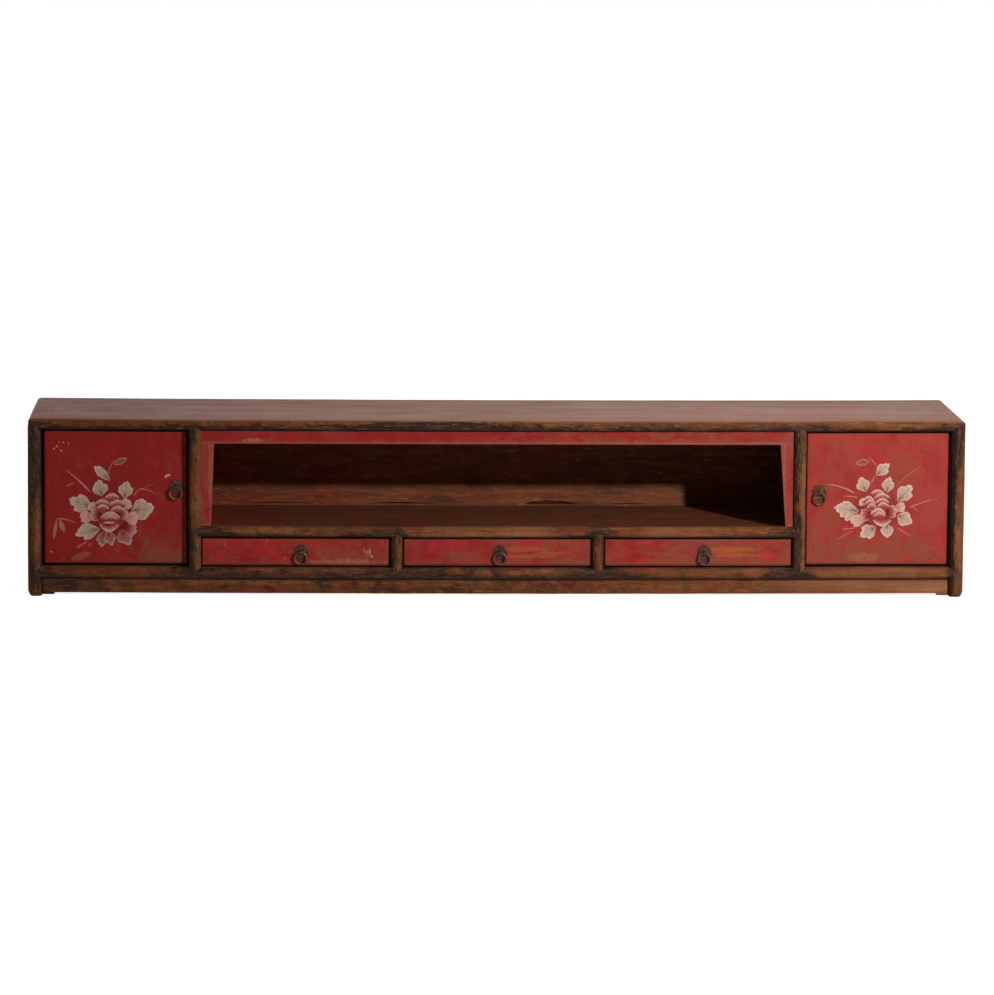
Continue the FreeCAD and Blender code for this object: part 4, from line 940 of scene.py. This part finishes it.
# %% [markdown]
# ## The left peony
# The flower is painted from the back to the front, as a decorator would: its shadow on the door, leaves,
# outer petals, a dark ground for the heart, then arc upon arc of inner petals. Twigs, buds and chips of
# paint come last.

# %% Left peony
left_peony = Painting("left_door", Vector((-0.8274, 0, 0.1767)))
left_peony.ground((3, -4), 58, 54, FLOWER_SHADOW)
left_peony.leaf((2, 69), -46, 45, 33, blade_rim)
for leaf in (((-15, 36), -13, 34, 56), ((32, 31), 10, 36, 50), ((-34, 11), -71, 51, 42),
             ((47, 4), 80, 47, 56), ((-18, -34), -102, 52, 37)):
    left_peony.leaf(*leaf)
for leaf in (((-10, -38), 192, 34, 42), ((-4, -38), 160, 32, 42), ((24, -36), 146, 36, 58)):
    left_peony.leaf(*leaf, tones=MAUVE_LEAF)
left_peony.petal((22, -24), 116, 40, 28, SIDE_PETAL)
for petal in (((-27, -6), -97, 35, 34), ((26, -8), 98, 37, 34), ((24, 10), 55, 27, 42),
              ((-26, 8), -58, 20, 45)):
    left_peony.petal(*petal, OUTER_PETAL)
left_peony.ground((3, 0), 32, 38, BLOOM_GROUND)
for petal in (((-10, -6), -84, 30, 42), ((13, -4), 80, 28, 44)):
    left_peony.petal(*petal, SIDE_PETAL)
for arc in (((7, 43), 15, 9, 16), ((-14, 30), 15, 8, 15), ((18, 29), 17, 10, 16), ((-13, 19), 14, 8, 14),
            ((18, 16), 14, 9, 15), ((3, 4), 21, 13, 20), ((4, -4), 14, 8, 12), ((0, -18), 20, 7, 12),
            ((0, -41), 21, -16, -18)):
    left_peony.crescent(*arc)
left_peony.drop((-10, -27), (4, -25), 5, DEEP)
left_peony.stroke((-39, 44), (-64, 72), (-94, 94), 3.4, 0.8, colour=PINK)
for twig in (((-91, 57), (-82, 62), (-72, 64), 1.8, 0.8), ((52, 35), (58, 50), (71, 53), 1.4, 1.2),
             ((62, 51), (82, 54), (99, 40), 1.7, 0.8), ((71, 53), (86, 60), (98, 66), 1.1, 0.5, 0.6),
             ((-2, 78), (0, 102), (13, 113), 2.2, 1.4, 0.7)):
    left_peony.stroke(*twig)
for bud in (((10, 104), (39, 118), 14, PINK, 0.7), ((13, 106), (36, 116), 9, OLIVE, 0.8)):
    left_peony.drop(*bud)
left_peony.stroke((118, 77), (124, 81), (131, 83), 3.6, 2.4, colour=PALE)
left_peony.stroke((-112, -13), (-92, -12), (-67, -23), 2.4, 1.0, 0.8)
for bud in (((-111, -13), (-118, -58), 8, OCHRE, 0.7), ((-105, -15), (-95, -42), 11, OCHRE, 0.75)):
    left_peony.drop(*bud)
left_peony.stroke((-70, -76), (-58, -69), (-45, -60), 2.4, 1.6)
for smudge in (((-82, -101), (-37, -86), 16, OCHRE, 0.24), ((-46, -71), (-35, -66), 8, OCHRE, 0.25)):
    left_peony.drop(*smudge)
for chip in (((-99, 149), (-95, 152), 4), ((-87, 147), (-84, 150), 2.6), ((-103, 132), (-98, 134), 3.4),
             ((-113, 139), (-108, 145), 2.6), ((-119, 135), (-115, 139), 3), ((-107, 150), (-105, 153), 2),
             ((-126, -85), (-120, -83), 3)):
    left_peony.drop(*chip, PALE, 0.8)
left_peony.finish(painted_finish("left_door"))
print("left peony of", left_peony.sheets, "sheets")

# %% [markdown]
# ## The right peony
# The right flower is a sister of the left one and not its mirror image: none of its leaves is mauve, and
# it has more and thinner twigs but only one bud. It is painted in the same order.

# %% Right peony
right_peony = Painting("right_door", Vector((0.8172, 0, 0.1906)))
right_peony.ground((-2, -4), 56, 52, FLOWER_SHADOW)
for leaf in (((-7, 70), 47, 36, 40), ((-28, 35), -22, 32, 52), ((17, 32), 8, 34, 44), ((40, 14), 42, 44, 43),
             ((40, -15), 120, 36, 50), ((-42, -7), -82, 52, 38), ((-44, -9), -121, 32, 36),
             ((-5, -40), -124, 39, 46), ((18, -35), 176, 29, 56)):
    right_peony.leaf(*leaf)
for petal in (((-20, -21), -104, 41, 28), ((30, 0), 86, 28, 36), ((-26, 8), -62, 18, 46)):
    right_peony.petal(*petal, OUTER_PETAL)
right_peony.ground((0, 0), 31, 38, BLOOM_GROUND)
for petal in (((-9, -14), -95, 32, 38), ((11, -11), 80, 29, 44)):
    right_peony.petal(*petal, SIDE_PETAL)
for arc in (((-3, 41), 14, 8, 15), ((-22, 27), 13, 11, 15), ((7, 33), 17, 10, 14), ((-18, 19), 12, 10, 13),
            ((8, 22), 15, 10, 13), ((-15, 11), 11, 11, 13), ((10, 13), 13, 9, 13), ((-1, 1), 17, 13, 20),
            ((2, -8), 12, 9, 13), ((8, -40), 20, -13, -17)):
    right_peony.crescent(*arc)
right_peony.stroke((-51, 31), (-80, 50), (-115, 51), 2.8, 0.9, colour=PINK)
for twig in (((-45, 23), (-62, 26), (-79, 26), 2.0, 1.0), ((37, 45), (58, 73), (92, 90), 1.2, 0.8, 0.65),
             ((66, 1), (92, 11), (118, 19), 1.9, 1.0), ((118, 19), (130, 23), (137, 29), 0.9, 0.5, 0.5),
             ((118, 19), (132, 16), (136, 3), 0.9, 0.5, 0.5), ((69, 3), (80, -1), (87, -10), 1.4, 0.8, 0.8),
             ((-50, -43), (-64, -46), (-79, -45), 2.0, 1.0),
             ((-53, -49), (-70, -58), (-90, -69), 1.4, 0.8, 0.7), ((40, -43), (56, -52), (72, -62), 1.6, 0.8),
             ((-18, 54), (-12, 62), (-9, 70), 1.6, 1.2), ((-6, 89), (-14, 106), (-25, 109), 1.7, 1.2, 0.8)):
    right_peony.stroke(*twig)
for bud in (((-22, 101), (-51, 96), 15, PINK, 0.75), ((-25, 100), (-47, 97), 11, ROSE, 0.95)):
    right_peony.drop(*bud)
right_peony.finish(painted_finish("right_door"))
print("right peony of", right_peony.sheets, "sheets")

# %% [markdown]
# ## Top panel and inner boards
# The panel floats in the grooves of the top frame. The inner boards are seen in the niche, behind an
# open door and in the drawers, so they are softened in the same way, with larger cells.

# %% Top panel and inner boards
INNER_EASE = 0.8 * MM
INNER_CELL = 30 * MM
worn_copy("top_panel", top_satin, "top_wood", ease=FLUSH_EASE)
inner_boards = {
    "shelf_panel": niche_floor, "bottom_panel": inner_long,
    "top_battens": inner_deep, "drawer_runners": inner_deep,
    "left_partition": inner_deep, "right_partition": inner_deep, "door_stops": inner_tall,
    "left_door_battens": inner_long, "right_door_battens": inner_long,
}
for side in ("left", "middle", "right"):
    inner_boards[f"{side}_drawer_box"] = inner_deep
    inner_boards[f"{side}_drawer_bottom"] = inner_deep
for node, finish in inner_boards.items():
    worn_copy(node, finish, "inner_wood", INNER_EASE, INNER_CELL, slides="drawer" in node)
print(len(inner_boards), "inner boards")

# %% [markdown]
# ## Back planks
# Two level planks close the back and are seen through the niche. The upper one has lost bits of its lower
# edge. Cutting them out would need a boolean for each, so the planks are made from cubes, and the upper
# one's front rim is pushed up by a row of bites, which leaves a dark slope under it.

# %% Back planks
PLANK_CELLS = ((0, 8 * MM), (2, 30 * MM))
BACK_SEAM_EASE = 1.5 * MM
BITE_RAGGED = 0.5
BITE_WAVES = 90
# Middle of each bite, half its width and its height
PLANK_BITES = [(-0.46, 0.1, 2 * MM), (-0.2, 0.08, 3 * MM), (0.13, 0.06, 8 * MM), (0.3, 0.05, 2 * MM)]
plank_low, plank_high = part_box("back_planks")
plank_levels = sorted({round(vert.co.z, 4) for vert in nodes["back_planks"].data.vertices})
plank_seam = plank_levels[1]
planks = bmesh.new()
for low_z, high_z in ((plank_low.z, plank_seam), (plank_seam, plank_high.z)):
    size = Vector((plank_high.x - plank_low.x, plank_high.y - plank_low.y, high_z - low_z))
    middle = (plank_low + plank_high) / 2
    middle.z = (low_z + high_z) / 2
    bmesh.ops.create_cube(planks, size=1, matrix=Matrix.Translation(middle) @ Matrix.Diagonal(size).to_4x4())
seam_at_back = [edge for edge in planks.edges if all(
    vert.co.y > plank_high.y - MERGE and abs(vert.co.z - plank_seam) < MERGE for vert in edge.verts)]
bmesh.ops.bevel(planks, geom=seam_at_back, offset=BACK_SEAM_EASE, affect="EDGES", segments=2, profile=0.5,
                material=-1)
for axis, cell in PLANK_CELLS:
    slice_up(planks, axis, cell)
upper_front_rim = [vert for vert in planks.verts if abs(vert.co.z - plank_seam) < MERGE
                   and vert.co.y < plank_low.y + MERGE
                   and max(edge.other_vert(vert).co.z for edge in vert.link_edges) > plank_seam + MERGE]
for vert in upper_front_rim:
    for spot, half, rise in PLANK_BITES:
        inside = 1 - ((vert.co.x - spot) / half) ** 2
        ragged = 1 + BITE_RAGGED * noise.noise(vert.co * BITE_WAVES)
        vert.co.z += rise * max(inside, 0) * ragged
for vert in planks.verts:
    vert.co += wander(vert.co)
finish_piece(planks, "worn_back_planks", inner_long, "carcass", "inner_wood", "back_planks")
print(len(PLANK_BITES), "bites out of the upper plank")

# %% [markdown]
# ## Ring pulls
# Each pull is a round plate, an eye with a split pin and a hanging ring. The eye keeps its CAD shape.
# The plate on the real pull is a thin raised dish with a rolled rim, and the ring is forged by hand:
# heavier at the bottom, thinner where it hangs. Both are a profile spun round an axis, which is how a
# lathe or a bent rod makes them.

# %% Ring pulls
# Radius and rise of the plate's profile, in millimetres
PLATE_PROFILE = [(2.2, 1.6), (6.0, 1.55), (10.5, 1.25), (12.6, 0.85), (13.3, 1.05), (14.2, 1.3), (15.0, 1.0),
                 (15.4, 0.4), (15.4, 0.0)]
PLATE_STEPS = 48
RING_STEPS = 56
WIRE_POINTS = 14
THINNER_AT_TOP = 0.14
HAMMERED = 0.05
HAMMER_WAVES = 350


def spun_plate(name):
    """A dished plate with a rolled rim, on the board's face."""
    node = f"{name}_pull_plate"
    low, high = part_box(node)
    centre = (low + high) / 2
    mesh = bmesh.new()
    points = [mesh.verts.new((centre.x + radius * MM, high.y - rise * MM, centre.z))
              for radius, rise in PLATE_PROFILE]
    edges = [mesh.edges.new(pair) for pair in zip(points, points[1:])]
    bmesh.ops.spin(mesh, geom=[*points, *edges], cent=(centre.x, high.y, centre.z), axis=(0, 1, 0),
                   angle=math.tau, steps=PLATE_STEPS, use_merge=True)
    bmesh.ops.remove_doubles(mesh, verts=mesh.verts, dist=MERGE)
    rims = [edge for edge in mesh.edges if edge.is_boundary]
    bmesh.ops.holes_fill(mesh, edges=rims, sides=0)
    bmesh.ops.recalc_face_normals(mesh, faces=mesh.faces)
    finish_piece(mesh, f"{name}_dish", plate_bronze, body_of_node[node], "bronze", node)


def forged_ring(name):
    """A ring of round rod, a little thinner at the top where it hangs in the eye."""
    node = f"{name}_pull_ring"
    low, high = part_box(node)
    centre = (low + high) / 2
    wire = (high.y - low.y) / 2
    reach = (high.x - low.x) / 2 - wire
    mesh = bmesh.new()
    turn = Matrix.Translation(centre - Vector((0, 0, reach))) @ Matrix.Rotation(math.pi / 2, 4, "Y")
    section = bmesh.ops.create_circle(mesh, segments=WIRE_POINTS, radius=wire, matrix=turn)
    edges = list({edge for vert in section["verts"] for edge in vert.link_edges})
    bmesh.ops.spin(mesh, geom=[*section["verts"], *edges], cent=centre, axis=(0, 1, 0),
                   angle=math.tau, steps=RING_STEPS, use_merge=True)
    bmesh.ops.remove_doubles(mesh, verts=mesh.verts, dist=MERGE)
    bmesh.ops.recalc_face_normals(mesh, faces=mesh.faces)
    for vert in mesh.verts:
        outward = Vector((vert.co.x - centre.x, 0, vert.co.z - centre.z)).normalized()
        core = centre + outward * reach
        thin = 1 - THINNER_AT_TOP * max(outward.z, 0)
        hammered = 1 + HAMMERED * noise.noise(vert.co * HAMMER_WAVES)
        vert.co = core + (vert.co - core) * thin * hammered
    finish_piece(mesh, f"{name}_forged_ring", ring_bronze, body_of_node[node], "bronze", node)


pulls = ("left_door", "right_door", "left_drawer", "middle_drawer", "right_drawer")
for name in pulls:
    spun_plate(name)
    forged_ring(name)
    eye = nodes[f"{name}_pull_eye"]
    eye.data.materials.clear()
    eye.data.materials.append(ring_bronze)
print(len(pulls), "ring pulls")

# %% [markdown]
# ## Floor and light
# The room is a pale studio. A key lamp stands to the front right and gives the falloff from right to
# left. Its place follows from the shadow edges on the niche's back wall, and it is small because they
# are crisp. A large soft lamp hangs above the top, and a low one behind lights the back. The world is
# white where a camera or a mirror looks at it, and a weak fill for everything else. The floor does the
# same, but still darkens under the cabinet.

# %% Floor and light
FILL = 0.035
WHITE = (1, 1, 1, 1)
FLOOR_GREY = (0.6, 0.6, 0.6, 1)
FLOOR_ROUGHNESS = 0.9
FLOOR_HALF_WIDTH = 9
NEAR_REACH = 1.3
NEAR_GLOW = 0.88
FAR_REACH = 3.0
FAR_GLOW = 1.0


def seen_directly(tree):
    """1 for rays of the camera, of reflections and of glass, 0 for rays that carry fill light."""
    light_path = add_node(tree, "ShaderNodeLightPath", {}).outputs
    mirror = sums(tree, "MAXIMUM", light_path["Is Glossy Ray"], light_path["Is Transmission Ray"])
    return sums(tree, "MAXIMUM", light_path["Is Camera Ray"], mirror)


def add_lamp(name, place, aim, size, watts):
    """A round area lamp that faces a point."""
    data = bpy.data.lights.new(name, "AREA")
    data.shape = "DISK"
    data.size = size
    data.energy = watts
    lamp = bpy.data.objects.new(name, data)
    lamp.location = place
    lamp.rotation_euler = (place - aim).to_track_quat("Z", "Y").to_euler()
    bpy.context.scene.collection.objects.link(lamp)


world = bpy.data.worlds.new("white studio")
bpy.context.scene.world = world
world.use_nodes = True
world_tree = world.node_tree
background = world_tree.nodes["Background"]
strength = eased(world_tree, seen_directly(world_tree), 0.0, 1.0, FILL, 1.0)
background.inputs["Color"].default_value = WHITE
world_tree.links.new(strength, background.inputs["Strength"])

floor_material, floor_tree, floor_shader, floor_place = start_finish("pale floor")
floor_shader.inputs["Base Color"].default_value = FLOOR_GREY
floor_shader.inputs["Roughness"].default_value = FLOOR_ROUGHNESS
floor_shader.inputs["Emission Color"].default_value = WHITE
distance = add_node(floor_tree, "ShaderNodeVectorMath", {0: floor_place}, operation="LENGTH").outputs["Value"]
whiteness = eased(floor_tree, distance, NEAR_REACH, FAR_REACH, NEAR_GLOW, FAR_GLOW)
floor_glow = sums(floor_tree, "MULTIPLY", seen_directly(floor_tree), whiteness)
floor_tree.links.new(floor_glow, floor_shader.inputs["Emission Strength"])

floor_mesh = bmesh.new()
bmesh.ops.create_grid(floor_mesh, x_segments=2, y_segments=2, size=FLOOR_HALF_WIDTH)
floor_data = bpy.data.meshes.new("floor")
floor_mesh.to_mesh(floor_data)
floor_mesh.free()
floor_data.materials.append(floor_material)
floor = bpy.data.objects.new("floor", floor_data)
bpy.context.scene.collection.objects.link(floor)

cabinet_middle = Vector((0, 0, height / 2))
add_lamp("key", Vector((1.79, -2.6, 1.23)), cabinet_middle, size=0.1, watts=63)
add_lamp("back", Vector((-2.0, 2.4, 0.28)), cabinet_middle, size=0.4, watts=36)
add_lamp("overhead", Vector((0.55, -0.15, 1.88)), Vector((0.55, -0.15, 0)), size=0.8, watts=9.5)
print("lamps lit, fill", FILL)

# %% [markdown]
# ## Camera
# The camera was fitted to the corners of the cabinet in the photograph. Its turn is given as yaw, pitch
# and roll, from which the axes of the camera follow, and its focal length in pixels of that picture.

# %% Camera
IMAGE_WIDTH = 994
SENSOR_WIDTH = 36
CAMERA_PLACE = Vector((-0.42487, -10.72577, 1.63476))
CAMERA_YAW = math.radians(2.3013)
CAMERA_PITCH = math.radians(-7.6838)
CAMERA_ROLL = math.radians(0.4209)
FOCAL_PIXELS = 4989.2
CLIP_END = 100
forward = Vector((math.sin(CAMERA_YAW) * math.cos(CAMERA_PITCH),
                  math.cos(CAMERA_YAW) * math.cos(CAMERA_PITCH), math.sin(CAMERA_PITCH)))
level_right = forward.cross(Vector((0, 0, 1))).normalized()
level_up = level_right.cross(forward)
right = level_right * math.cos(CAMERA_ROLL) + level_up * math.sin(CAMERA_ROLL)
camera_data = bpy.data.cameras.new("camera")
camera_data.sensor_fit = "HORIZONTAL"
camera_data.sensor_width = SENSOR_WIDTH
camera_data.lens = FOCAL_PIXELS * SENSOR_WIDTH / IMAGE_WIDTH
camera_data.clip_end = CLIP_END
camera = bpy.data.objects.new("camera", camera_data)
turned = Matrix((right, right.cross(forward), -forward)).transposed().to_4x4()
camera.matrix_world = Matrix.Translation(CAMERA_PLACE) @ turned
bpy.context.scene.collection.objects.link(camera)
bpy.context.scene.camera = camera
bpy.context.scene.view_settings.view_transform = "Standard"
print("lens", round(camera_data.lens, 1), "mm")

# %% [markdown]
# The CAD model's box is printed. The dressed cabinet must keep the CAD model's size.

print("CAD box", [round(v, 4) for corner in cad_box for v in corner])
